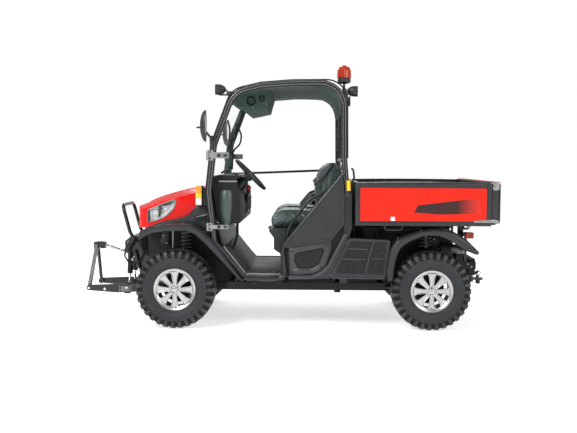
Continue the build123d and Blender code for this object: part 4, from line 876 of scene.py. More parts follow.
    def warped(self, rule: Callable[[Vector], Vector]) -> Form:
        """Moves each point by a rule in millimetres, as bending a flat strip round a drum does.

        Args:
            rule: gives each point's new place.

        Returns:
            This form.
        """
        for vert in self.bm.verts:
            vert.co = rule(vert.co / MM) * MM
        return self

    def joined(self, other: Form) -> Form:
        """Adds another form's mesh to this one.

        Args:
            other: the form to add, which is used up.

        Returns:
            This form.
        """
        carrier = bpy.data.meshes.new("carrier")
        other.bm.to_mesh(carrier)
        self.bm.from_mesh(carrier)
        bpy.data.meshes.remove(carrier)
        other.bm.free()
        return self

    def piece(self, name: str, body: str, finish: Finish, *nodes: str, slot: str = "", smooth: float = 32.0,
              subdivide: int = 0, wall: float = 0.0, bevel: float = 0.0) -> bpy.types.Object:
        """Finishes the form as a piece of the vehicle.

        Args:
            name: the piece's name.
            body: the moving body that it rides on.
            finish: its finish.
            nodes: the solids it stands for.
            slot: the record's material slot; not used.
            smooth: the angle in degrees under which edges are shaded smooth.
            subdivide: levels of subdivision.
            wall: a thickness for a sheet, inwards.
            bevel: a width for edges sharper than thirty degrees.

        Returns:
            The finished object.
        """
        self.welded().outward()
        mesh = bpy.data.meshes.new(name)
        self.bm.to_mesh(mesh)
        self.bm.free()
        made = placed(name, mesh)
        mesh.materials.append(finish.material())
        if wall:
            thicken = made.modifiers.new("wall", "SOLIDIFY")
            thicken.thickness = wall * MM
            thicken.offset = -1
            thicken.use_even_offset = True
        if bevel:
            soften = made.modifiers.new("edges", "BEVEL")
            soften.width = bevel * MM
            soften.segments = 2
            soften.limit_method = "ANGLE"
        if subdivide:
            finer = made.modifiers.new("surface", "SUBSURF")
            finer.levels = finer.render_levels = subdivide
        mesh.shade_smooth()
        mesh.set_sharp_from_angle(angle=math.radians(smooth if not subdivide else 180))
        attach(made, body)
        if nodes:
            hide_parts(*nodes)
        return made


# ---- stage
@dataclass
class Stage:
    """Camera, floor and soft lights."""

    camera_at: Point = (0.1792, -7.1627, 1.3055)
    yaw: float = 1.256
    pitch: float = -3.703
    roll: float = 0.259
    lens: float = 51.91
    sensor: float = 36
    sight: float = 200
    floor_half: float = 40.0
    floor_colour: Point = (0.84, 0.84, 0.84)
    floor_glow: float = 0.74
    sky_light: float = 0.46
    sky_seen: float = 1.0
    lit_at: Point = (0, 0, 0.8)

    def build(self) -> None:
        """Sets the camera, the floor and the lights."""
        bpy.context.scene.view_settings.view_transform = "Standard"
        self._camera()
        self._floor()
        self._lights()

    def _camera(self) -> None:
        """A camera at the side of the vehicle, level with the seats."""
        data = bpy.data.cameras.new("view")
        data.lens = self.lens
        data.sensor_width = self.sensor
        data.clip_end = self.sight
        eye = placed("view", data)
        yaw, pitch, roll = (math.radians(a) for a in (self.yaw, self.pitch, self.roll))
        forward = Vector((-math.sin(yaw) * math.cos(pitch), math.cos(yaw) * math.cos(pitch), math.sin(pitch)))
        right = Vector((math.cos(yaw), math.sin(yaw), 0))
        up = right.cross(forward)
        side = right * math.cos(roll) + up * math.sin(roll)
        top = up * math.cos(roll) - right * math.sin(roll)
        turn = Matrix((side, top, -forward)).transposed().to_4x4()
        eye.matrix_world = Matrix.Translation(self.camera_at) @ turn
        bpy.context.scene.camera = eye

    def _floor(self) -> None:
        """A pale floor with the faintest unevenness."""
        bm = bmesh.new()
        bmesh.ops.create_grid(bm, x_segments=1, y_segments=1, size=self.floor_half)
        mesh = bpy.data.meshes.new("floor")
        bm.to_mesh(mesh)
        bm.free()
        floor = placed("floor", mesh)
        pale = Finish("pale_floor", self.floor_colour, 0.9, Texture.RUBBER, gloss=0.1, grain=90, shade=0.01,
                      glow=self.floor_glow)
        mesh.materials.append(pale.material())

    def _lights(self) -> None:
        """A bright even sky and three large soft lamps."""
        world = bpy.data.worlds.new("studio")
        bpy.context.scene.world = world
        world.use_nodes = True
        sky = world.node_tree.nodes["Background"]
        sky.inputs["Color"].default_value = (1, 1, 1, 1)
        seen = world.node_tree.nodes.new("ShaderNodeLightPath").outputs["Is Camera Ray"]
        level = world.node_tree.nodes.new("ShaderNodeMapRange")
        level.inputs["To Min"].default_value = self.sky_light
        level.inputs["To Max"].default_value = self.sky_seen
        world.node_tree.links.new(seen, level.inputs["Value"])
        world.node_tree.links.new(level.outputs["Result"], sky.inputs["Strength"])
        table = (
            ("key", (-4.5, -6.0, 6.0), 3.2, 560),
            ("fill", (5.5, -5.0, 4.0), 3.0, 190),
            ("back", (0.0, 6.5, 5.5), 5.0, 260),
        )
        for name, place, size, power in table:
            data = bpy.data.lights.new(name, "AREA")
            data.size = size
            data.energy = power
            lamp = placed(name, data)
            lamp.location = place
            aim = Vector(self.lit_at) - Vector(place)
            lamp.rotation_euler = aim.to_track_quat("-Z", "Y").to_euler()


# ---- carried-over solids
SOLID_FINISHES: dict[Finish, tuple[str, ...]] = {
    FRAME_BLACK: ("cab_frame", "door_frames", "rear_post_boxes", "hitch_tower", "hitch_arms", "hitch_coupler",
                  "drawbar", "fender_stays", "hip_bars"),
    CHASSIS_BLACK: ("chassis_frame", "rear_frame", "side_sills", "front_suspension", "rear_axle",
                    "knuckle_left", "knuckle_right", "dump_barrel", "lift_barrels"),
    IRON: ("engine_block", "muffler"),
    STEEL: ("tie_rod", "hinge_brackets"),
    CHROME: ("dump_rod", "lift_rods", "top_link"),
    PANEL_BLACK: ("roof_panel", "quarter_panels", "service_panels", "front_fenders", "rear_fenders", "cowl",
                  "bed_tub", "grille", "mirrors", "roof_lights"),
    DARK_GREY: ("seat_base", "floor_pan", "controls", "steering_wheel"),
    DEEP_BLACK: ("dashboard",),
    CAB_GREY: ("overhead_console", "rear_wall"),
    SEAT_VINYL: ("seat_cushions", "seat_backs"),
    HOOD_RED: ("hood",),
    BED_RED: ("bed_sides", "tailgate"),
    AMBER: ("beacon_lens", "tail_lamps"),
    LENS: ("headlamps",),
    ORANGE: ("marker_lamps",),
    GLASS: ("cab_glass",),
    TYRE_BLACK: ("tyre_front_left", "tyre_front_right", "tyre_rear_left", "tyre_rear_right"),
    ALLOY: ("rim_front_left", "rim_front_right", "rim_rear_left", "rim_rear_right"),
}


def dress_solids(nodes: dict[str, bpy.types.Object]) -> None:
    """Gives every carried-over solid its finish.

    Args:
        nodes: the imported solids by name.
    """
    for finish, names in SOLID_FINISHES.items():
        for name in names:
            mesh = nodes[name].data
            mesh.materials.clear()
            mesh.materials.append(finish.material())


# ---- wheels
class Corner(Enum):
    """Where a wheel is: its name's end, its axle's X and its side."""

    FRONT_LEFT = ("front_left", -850, -1)
    FRONT_RIGHT = ("front_right", -850, 1)
    REAR_LEFT = ("rear_left", 1155, -1)
    REAR_RIGHT = ("rear_right", 1155, 1)


@dataclass
class Wheel:
    """A knobbly tyre on an eight-spoked alloy rim."""

    corner: Corner
    radius: float = 311
    half_track: float = 625
    half_width: float = 127
    tread_depth: float = 13
    lugs: int = 31
    lug_share: float = 0.56
    lug_edge: float = 2.4
    lug_drops: Flat = (14, 22)
    taper: float = 0.30
    taper_depth: float = 60
    block_across: float = 22
    block_width: float = 34
    block_slant: float = 18
    seat_radius: float = 152
    lip_radius: float = 164
    rim_y: Flat = (-735.5, -530.5)
    spokes: int = 8
    spoke_joints: Flat = (50, 130)
    channel_rim: float = 5.2
    channel_slope: float = 2.2
    channel_depth: float = 9.5
    nuts: int = 4

    def build(self) -> None:
        """Builds the tyre's carcass, its lugs (painted highlight), the band between them (painted shade) and
        this corner's rim.
        """
        name, x, side = self.corner.value
        body = f"wheel_{name}"
        for form, part, finish, stands in (
                (self._carcass(), "tyre_dressed", TYRE_BLACK, (f"tyre_{name}",)),
                # The lugs take rubber painted lighter than the carcass, a painted highlight on the raised
                # tread.
                (self._tread(), "tyre_lugs", TREAD_PAINTED_HIGHLIGHT, ()),
                # The band between the lugs is rubber painted near black, a painted shade in the grooves.
                (self._groove_shade(), "tyre_groove_shade", GROOVE_PAINTED_SHADE, ()),
                (self._rim(), "rim_dressed", ALLOY, (f"rim_{name}",))):
            if side > 0:
                form.warped(flipped)
            form.moved((x, 0, self.radius))
            form.piece(f"{part}_{name}", body, finish, *stands, smooth=34)

    def _carcass(self) -> Form:
        """The carcass with its sidewall rings, round the origin.

        Returns:
            The carcass.
        """
        outer = -self.half_width
        base = self.radius - self.tread_depth
        wall = [
            (self.seat_radius, outer + 38), (self.seat_radius + 3, outer + 25),
            (self.lip_radius + 6, outer + 17), (self.lip_radius + 14, outer + 11),
            (self.lip_radius + 17, outer + 12), (self.lip_radius + 26, outer + 5),
            (self.radius - 100, outer + 2), (self.radius - 96, outer + 0.5),
            (self.radius - 92, outer + 2), (self.radius - 66, outer + 3),
            (self.radius - 60, outer + 1.5), (self.radius - 40, outer + 9), (base - 12, outer + 17),
            (base - 2, outer + 30), (base + 1, outer + 60), (base + 2, 0)]
        profile = wall + [(r, -y) for r, y in reversed(wall[:-1])]
        return Form().turned(profile, (0, -self.half_track, 0), ACROSS, steps=96)

    def _groove_shade(self) -> Form:
        """A band of painted shade between the lugs of the tyre's outer half, one millimetre over the carcass.

        Returns:
            The band.
        """
        outer = -self.half_width
        base = self.radius - self.tread_depth
        band = [
            (self.radius - 60, outer + 0.7), (self.radius - 40, outer + 8), (base - 11, outer + 16),
            (base - 1, outer + 29.3), (base + 2, outer + 60), (base + 3, 0), (base + 1, 0),
            (base, outer + 60), (base - 3, outer + 31), (base - 13, outer + 18),
            (self.radius - 42, outer + 10), (self.radius - 61, outer + 3)]
        return Form().turned(band, (0, -self.half_track, 0), ACROSS, steps=96)

    def _tread(self) -> Form:
        """All the tread blocks, shaped flat and then bent round the tyre.

        Returns:
            The lugs.
        """
        pitch = math.tau * self.radius / self.lugs
        half_turn = math.pi * self.radius
        top = self.radius
        root = self.radius - self.tread_depth - 3
        strip = Form()
        for number in range(self.lugs):
            for half in (-1, 1):
                share = self.lug_share / 2
                middle = half_turn + (number + (share if half < 0 else 1 - share)) * pitch
                drop = self.lug_drops[number % 2]
                strip.joined(self._shoulder(middle, pitch * self.lug_share, half, drop))
                centre, size = (middle + pitch * 0.42, self.block_across), (pitch * 0.5, self.block_width)
                slant = -self.block_slant * half
                strip.joined(self._tread_block(centre, half, size, slant, (root, top - 0.5)))

        def bend(at: Vector) -> Vector:
            """Carries a flat point (along, across, up) round the axle."""
            angle = at.x / self.radius
            return Vector((math.sin(angle) * at.z, at.y, math.cos(angle) * at.z))

        return strip.warped(bend)

    def _shoulder(self, along_tyre: float, length: float, half: int, drop: float) -> Form:
        """One shoulder lug, which wraps from the tread down the sidewall.

        Args:
            along_tyre: where its middle is along the tread.
            length: its length along the tread.
            half: which half of the tyre it is on, -1 outer and 1 inner.
            drop: how much further down the sidewall it reaches.

        Returns:
            The lug, still flat.
        """
        top = self.radius
        edge = self.half_width
        section = [
            (40, top - 16), (44, top - 0.5), (78, top - 0.5), (104, top - 6), (edge - 10, top - 13),
            (edge - 3.5, top - 30), (edge - 1.5, top - 44 - drop), (edge - 7, top - 48 - drop),
            (edge - 26, top - 34)]
        lug = Form()
        start = along_tyre - length / 2
        verts = lug.prism([(start, -self.half_track + half * y, z) for y, z in section], (length, 0, 0))
        middle = along_tyre * MM
        for vert in lug.bm.verts:
            depth = (top - vert.co.z / MM) / self.taper_depth
            vert.co.x = middle + (vert.co.x - middle) * (1 - self.taper * min(1, max(0, depth)))
        lug.round_edges(verts, self.lug_edge, 1)
        return lug

    def _tread_block(self, centre: Flat, half: int, size: Flat, slant: float, height: Flat) -> Form:
        """One slanted tread block between the shoulders.

        Args:
            centre: its middle, along the tread and off the tyre's middle.
            half: which half of the tyre it is on, -1 outer and 1 inner.
            size: its length and width.
            slant: its turn in degrees.
            height: its foot and its top.

        Returns:
            The block, still flat.
        """
        long, wide = size[0] / 2, size[1] / 2
        block = Form().block((-long, -wide, height[0]), (long, wide, height[1]), self.lug_edge, 1)
        turn = Matrix.Rotation(math.radians(slant), 3, "Z")
        bmesh.ops.rotate(block.bm, verts=block.bm.verts[:], cent=ORIGIN, matrix=turn)
        return block.moved((centre[0], -self.half_track + half * centre[1], 0))

    def _rim(self) -> Form:
        """The barrel, lip, spokes, hub, nuts and rim bolts, round the origin.

        Returns:
            The rim.
        """
        face, inner = self.rim_y
        seat, lip = self.seat_radius, self.lip_radius
        rim = Form().turned(
            [(lip, face), (lip + 1, face + 4), (lip - 2, face + 12), (seat + 1, face + 16),
            (seat + 0.5, inner - 12), (lip - 1, inner - 6), (lip, inner), (lip - 5, inner),
            (seat - 5, inner - 14), (seat - 6, face + 34), (seat - 12, face + 26),
            (seat - 14, face + 14), (seat - 4, face + 7), (lip - 8, face + 2)], ORIGIN, ACROSS, steps=96)
        rim.joined(self._spokes())
        rim.turned(
            [(0, face + 1), (17, face + 1.5), (22, face + 5), (24, face + 10), (47, face + 16),
            (52, face + 22), (52, face + 60), (0, face + 60)], ORIGIN, ACROSS, steps=48, closed=False)
        nuts = Form().bar((34, face + 14, 0), (34, face + 3, 0), 9.5, 7.5, sides=6, edge=1)
        nuts.turned(
            [(9, face + 12), (13, face + 13), (13, face + 18), (9, face + 18)], (34, 0, 0), ACROSS,
            steps=20)
        rim.joined(nuts.ring_of(self.nuts, ORIGIN, ACROSS, 20))
        bolts = Form().bar((lip - 13, face + 8, 7), (lip - 13, face + 3, 7), 3.0, sides=8, edge=0.6)
        bolts.bar((lip - 13, face + 8, -7), (lip - 13, face + 3, -7), 3.0, sides=8, edge=0.6)
        rim.joined(bolts.ring_of(self.spokes, ORIGIN, ACROSS, 22.5))
        valve = Form().bar((0, face + 12, -(seat - 18)), (0, face - 6, -(seat - 22)), 3.4, sides=10, edge=0.8)
        return rim.joined(valve)

    def _spokes(self) -> Form:
        """Eight broad spokes with a channel down the face of each.

        Returns:
            The spokes.
        """
        face = self.rim_y[0]
        spoke = Form()
        stations = ((36, 15), (60, 17), (116, 25), (141, 40))
        for (reach, half), (far, far_half) in zip(stations, stations[1:]):
            corners = [(reach, -half), (far, -far_half), (far, far_half), (reach, half)]
            spoke.joined(Form().plate(corners, (face + 6, face + 26)))
        spoke.welded(COARSE_WELD)
        near, far = self.spoke_joints
        inner = [f for f in spoke.bm.faces
                 if abs(f.normal.x) > 0.99 and near < f.calc_center_median().x / MM < far]
        bmesh.ops.delete(spoke.bm, geom=inner, context="FACES_ONLY")
        spoke.outward()
        front = [f for f in spoke.bm.faces if f.normal.y < -0.99]
        bmesh.ops.inset_region(spoke.bm, faces=front, thickness=self.channel_rim * MM, depth=0)
        bmesh.ops.inset_region(
            spoke.bm, faces=front, thickness=self.channel_slope * MM, depth=-self.channel_depth * MM)
        spoke.round_edges(spoke.bm.verts[:], 1.4, 1)
        return spoke.ring_of(self.spokes, ORIGIN, ACROSS, 0)


# ---- hood
@dataclass
class Hood:
    """The domed red hood with its corner lamps, its grille and the seams pressed into it."""

    crown: tuple[Flat, ...] = (
        (-1221, 944), (-1190, 953), (-1160, 963), (-1085, 998), (-1010, 1030), (-930, 1055),
        (-847, 1077), (-780, 1090), (-717, 1100), (-628, 1108))
    belly: tuple[Flat, ...] = ((-628, 961), (-694, 961), (-766, 880), (-822, 862), (-981, 829), (-1112, 779),
                               (-1221, 779))
    half: float = 512
    flat_half: float = 345
    fall: float = 40
    nose_side_x: float = -1166
    nose_bow: float = 55
    corner: float = 60
    lamp: tuple[Flat, ...] = (
        (-1100, 820), (-1100, 920), (-1000, 964), (-884, 1008), (-869, 1002), (-872, 972), (-890, 932),
        (-912, 906), (-944, 876), (-976, 857), (-1044, 832))
    lamp_depth: float = 34
    lamp_inner: float = 330
    grille_half: float = 324
    grille_z: Flat = (800, 900)
    slices_z: tuple[float, ...] = (820, 860, 905)
    slices_y: tuple[float, ...] = (0, 100, 200, 290, 345, 390, 430, 452, 470, 486, 499, 507)
    crease_past: Flat = (500, 930)
    crease_angle: float = 0.9
    crease_round: float = 14
    rear_past: float = -700
    blend_end: float = -1000.0

    def build(self) -> None:
        """Builds the shell with its holes, then what fills them."""
        shell = self._envelope()
        lenses = [
            shell.parted(self.lamp, span) for span in ((-600, -self.lamp_inner), (self.lamp_inner, 600))]
        low, high = self.grille_z
        mouth = [(-1300, low), (-1300, high), (-1120, high), (-1120, low)]
        shell.parted(mouth, (-self.grille_half, self.grille_half))
        self._open(shell)
        shell.piece("hood_shell", "hood", HOOD_RED, "hood", smooth=26, wall=5, bevel=1.5)
        for side, lens in zip(("left", "right"), lenses):
            self._lamp(side, lens)
        self._grille()
        self._seams()
        self._hinges()

    def nose_x(self, y: float) -> float:
        """Where the bowed nose lies at one Y.

        Args:
            y: the place across the hood.

        Returns:
            The nose's X there.
        """
        y = min(abs(y), self.half)
        bow = self.nose_side_x - self.nose_bow * (1 - (y / self.half) ** 2)
        into = max(0.0, y - (self.half - self.corner))
        return bow + self.corner - math.sqrt(max(0.0, self.corner ** 2 - into ** 2))

    def top_z(self, x: float, y: float) -> float:
        """The height of the hood's skin at one place.

        Args:
            x: the place along the hood.
            y: the place across it.

        Returns:
            The skin's height.
        """
        share = max(0.0, (abs(y) - self.flat_half) / (self.half - self.flat_half))
        bow = 5 * (min(abs(y), self.flat_half) / self.flat_half) ** 2
        return height_at(self.crown, x) - self.fall * share ** 1.3 - bow

    def _place(self, at: Vector) -> Vector:
        """Bows the nose and domes the crown of a straight prism.

        Args:
            at: a point of the prism.

        Returns:
            Where it goes.
        """
        nominal = self.crown[0][0]
        front = self.nose_x(at.y)
        x = at.x
        if x < self.blend_end:
            x = front + (x - nominal) * (self.blend_end - front) / (self.blend_end - nominal)
        z = at.z
        if abs(z - height_at(self.crown, at.x)) < 0.5:
            z = self.top_z(max(x, nominal), at.y)
        return Vector((x, at.y, z))

    def _envelope(self) -> Form:
        """The closed outside shape of the hood.

        Returns:
            The closed shape.
        """
        form = Form().plate([*self.crown, *self.belly], (-self.half, self.half))
        for z in self.slices_z:
            form.sliced((0, 0, z), UP)
        for y in self.slices_y:
            for side in (-1, 1):
                form.sliced((0, side * y, 0), ACROSS)
        form.warped(self._place).welded(COARSE_WELD)
        creases = []
        for edge in form.bm.edges:
            outer = min(abs(v.co.y) for v in edge.verts) > self.crease_past[0] * MM
            upper = min(v.co.z for v in edge.verts) > self.crease_past[1] * MM
            if outer and upper and edge.calc_face_angle(0) > self.crease_angle:
                creases.append(edge)
        form.chamfered(creases, self.crease_round, 3)
        return form

    def _open(self, form: Form) -> None:
        """Takes away the underside and the rear face.

        Args:
            form: the closed hood.
        """
        form.outward()
        rear = self.rear_past * MM
        gone = [f for f in form.bm.faces
                if f.normal.z < -0.35 or (f.normal.x > 0.9 and f.calc_center_median().x > rear)]
        bmesh.ops.delete(form.bm, geom=gone, context="FACES")

    def _lamp(self, side: str, lens: Form) -> None:
        """One lamp: a clear lens over a pale bowl with reflectors, dark dividers, a light strip and a bezel.

        Args:
            side: left or right.
            lens: the part of the hood's skin that lies over it.
        """
        sign = -1 if side == "left" else 1
        face, back = sign * (self.half - 1), sign * (self.half - self.lamp_depth)
        lens.piece(f"lamp_lens_{side}", "hood", LENS, "headlamps", smooth=26, wall=2)
        ring = [*self.lamp, self.lamp[0]]
        bowl = Form().plate(self.lamp, sorted_pair(back, back - sign * 3))
        bowl.skin(44, 1, lambda u, v: (along(ring, u)[0], face + (back - face) * v, along(ring, u)[1]))
        bowl.piece(f"lamp_bowl_{side}", "hood", LAMP_BOWL, smooth=30)
        bezel = Form().pipe(at_y((*self.lamp, *self.lamp[:2]), face), 4, 12, sides=8)
        bezel.piece(f"lamp_bezel_{side}", "hood", LINK_GREY)
        optics = Form()
        for x, z, radius in ((-1046, 884, 38), (-962, 930, 34)):
            section = [
                (0, -8), (radius * 0.55, -4), (radius, 16), (radius + 3, 18), (radius + 3, -10), (0, -12)]
            optics.turned(section, (x, back + sign * 4, z), (0, sign, 0), steps=32, closed=False)
            optics.ball((x, back + sign * 8, z), 11)
        optics.piece(f"lamp_optics_{side}", "hood", REFLECTOR)
        near, far = sorted_pair(back, face - sign * 7)
        dark = Form().plate([(-1096, 830), (-1096, 912), (-1080, 919), (-1080, 830)], (near, far), 2)
        dark.plate([(-1018, 868), (-1006, 862), (-982, 940), (-1000, 962), (-1012, 956)], (near, far), 2)
        dark.plate([(-1000, 950), (-930, 960), (-884, 990), (-1004, 962)], (near, far), 2)
        dark.piece(f"lamp_dividers_{side}", "hood", DEEP_BLACK)
        strip = Form().plate([(-1078, 834), (-1072, 833), (-1072, 922), (-1078, 920)], (near, far), 1)
        strip.plate(
            [(-990, 866), (-950, 882), (-900, 930), (-884, 972), (-900, 960), (-930, 916), (-990, 880)],
            (near, near + 8), 2)
        strip.piece(f"lamp_strip_{side}", "hood", LAMP_WHITE)

    def _grille(self) -> None:
        """Louvres across the hood's mouth, in a rounded frame."""
        low, high = self.grille_z
        louvres = Form()
        for number in range(6):
            z = low + 11 + number * (high - low - 22) / 5
            louvres.skin(24, 2, lambda u, v: (self.nose_x((u - 0.5) * 2 * self.grille_half) + 3 + v * 22,
                                              (u - 0.5) * 2 * self.grille_half, z - 4 + v * 8))
        louvres.piece("grille_louvres", "hood", PANEL_BLACK, "grille", wall=2.5)
        rim = Form()
        path = [(self.nose_x(y) + 1, y, high + 3) for y in range(-324, 325, 54)]
        rim.pipe(path, 4.5)
        rim.pipe([(x, y, low - 3) for x, y, _ in path], 4.5)
        for y in (-216, -108, 0, 108, 216):
            rim.block((self.nose_x(y) + 8, y - 3, low), (self.nose_x(y) + 14, y + 3, high), 1)
        rim.piece("grille_rim", "hood", FRAME_BLACK)
        back = Form().skin(
            16, 1, lambda u, v: (self.nose_x((u - 0.5) * 648) + 34, (u - 0.5) * 648, low - 4 + v * 108))
        back.piece("grille_screen", "hood", DEEP_BLACK, slot="frame_black", wall=2)

    def _seams(self) -> None:
        """The raised shoulder lines, the crease down each side and a blank badge plate on the nose."""
        ridge = Form()
        stations = (-1100, -1040, -980, -920, -860, -800, -740, -680, -634)
        ridge.pipe([(x, 350, self.top_z(x, 350) + 0.5) for x in stations], 2.6).mirrored()
        crease = [(-852, -self.half, 1018), (-760, -self.half, 1049), (-640, -self.half, 1072)]
        ridge.joined(Form().pipe(crease, 3, 60).mirrored())
        ridge.piece("hood_ridges", "hood", HOOD_RED)
        badge = Form().block((self.nose_x(0) - 2, -34, 912), (self.nose_x(0) + 4, 34, 930), 2)
        badge.piece("hood_blank_badge", "hood", STEEL, slot="silver_alloy")

    def _hinges(self) -> None:
        """The two hinge ears under the hood's rear edge, round their pins."""
        ears = Form().turned([(4.2, 0), (9, 0), (9, 10), (4.2, 10)], (-637, -330, 1089), ACROSS, steps=24)
        ears.block((-646, -330, 1093), (-628, -320, 1101), 1).mirrored()
        ears.piece("hood_ears", "hood", FRAME_BLACK)


# ---- fenders
@dataclass
class Fenders:
    """The four black arches: a thin sheet over each wheel that rolls down into a lip."""

    inner: float = 500
    outer: float = 760
    wall: float = 4
    rear_axle_x: float = 1155
    front_top: tuple[Flat, ...] = (
        (-1120, 771), (-1034, 803), (-917, 822), (-801, 830), (-708, 826), (-646, 790), (-568, 721),
        (-452, 581), (-312, 387))
    front_low: tuple[Flat, ...] = (
        (-1120, 703), (-1089, 725), (-1034, 756), (-918, 773), (-762, 778), (-685, 751), (-607, 681),
        (-478, 545), (-335, 392))
    rear_top: tuple[Flat, ...] = (
        (-344, 396), (-361, 481), (-332, 637), (-287, 714), (-218, 746), (-104, 785), (-12, 801),
        (88, 798), (165, 779), (265, 718), (359, 626))
    rear_low: tuple[Flat, ...] = ((-315, 396), (-293, 559), (-255, 653), (-179, 707), (-65, 751), (50, 748),
                                  (128, 717), (244, 641), (329, 606), (347, 606))

    def build(self) -> None:
        """Builds the front pair and the rear pair."""
        rear_top = [(x + self.rear_axle_x, z) for x, z in self.rear_top]
        rear_low = [(x + self.rear_axle_x, z) for x, z in self.rear_low]
        self._pair("front_fender", self.front_top, self.front_low, "front_fenders", 10)
        self._pair("rear_fender", rear_top, rear_low, "rear_fenders", 6)
        self._tops()

    def _tops(self) -> None:
        """The panel that closes the space between each front fender and the hood."""
        outline = [
            (-1128, 762), (-1112, 775), (-981, 825), (-822, 858), (-764, 878), (-702, 953), (-614, 953),
            (-604, 884), (-566, 800), (-640, 772), (-708, 800), (-801, 806), (-917, 798), (-1034, 778)]
        Form().plate(outline, (-552, -542), 3).mirrored().piece(
            "fender_tops", "chassis", FENDER_TOP, slot="black_plastic", smooth=30)
        lip = Form().pipe([(x, -552, z + 2) for x, z in outline[1:7]], 4, 30, sides=10)
        lip.mirrored().piece("fender_top_lips", "chassis", FENDER_BLACK, slot="black_plastic")

    def _pair(self, name: str, top: Sequence[Flat], low: Sequence[Flat], node: str, crown: float) -> None:
        """One arch with its lip bead, and its mirror image.

        Args:
            name: the first part of the pieces' names.
            top: the arch's upper line.
            low: the lower line of its lip.
            node: the solids it stands for.
            crown: how far the sheet's middle bulges.
        """
        def skin(u: float, v: float) -> Point:
            """A place on the arch: across from the inner edge to the lip, and along from front to rear.

            Args:
                u: the share across, 0 to 1.
                v: the share along, 0 to 1.

            Returns:
                The place.
            """
            (x, z), (low_x, low_z) = along(top, v), along(low, v)
            if u < 0.6:
                t = u / 0.6
                return (
                    x, -self.inner - t * (self.outer - 34 - self.inner),
                    z - 3 + crown * 0.2 * math.sin(math.pi * t))
            if u < 0.8:
                turn = (u - 0.6) / 0.2 * math.pi / 2
                drop = 1 - math.cos(turn)
                return (x + (low_x - x) * 0.35 * drop, -self.outer + 34 - 30 * math.sin(turn),
                        z - 3 + (low_z - z) * 0.35 * drop)
            t = 0.35 + 0.65 * (u - 0.8) / 0.2
            return (x + (low_x - x) * t, -self.outer + 4 - 3 * math.sin(math.pi * t), z + (low_z - z) * t)

        arch = Form().skin(20, 64, skin)
        arch.mirrored().piece(name, "chassis", FENDER_BLACK, node, smooth=40, wall=self.wall)
        bead = Form().pipe([(x, -self.outer + 6, z + 2) for x, z in low], 5, 60)
        bead.mirrored().piece(f"{name}_bead", "chassis", DARK_GREY, slot="frame_black")
        bolts = Form()
        for share in (0.16, 0.34, 0.52, 0.70, 0.86):
            x, z = along(top, share)
            bolts.bar((x, -self.inner - 28, z - 4), (x, -self.inner - 28, z + 2), 8, sides=6, edge=1)
            bolts.bar((x, -self.outer + 60, z - 4), (x, -self.outer + 60, z + 1), 7, sides=12, edge=1)
        bolts.mirrored().piece(f"{name}_bolts", "chassis", STEEL)


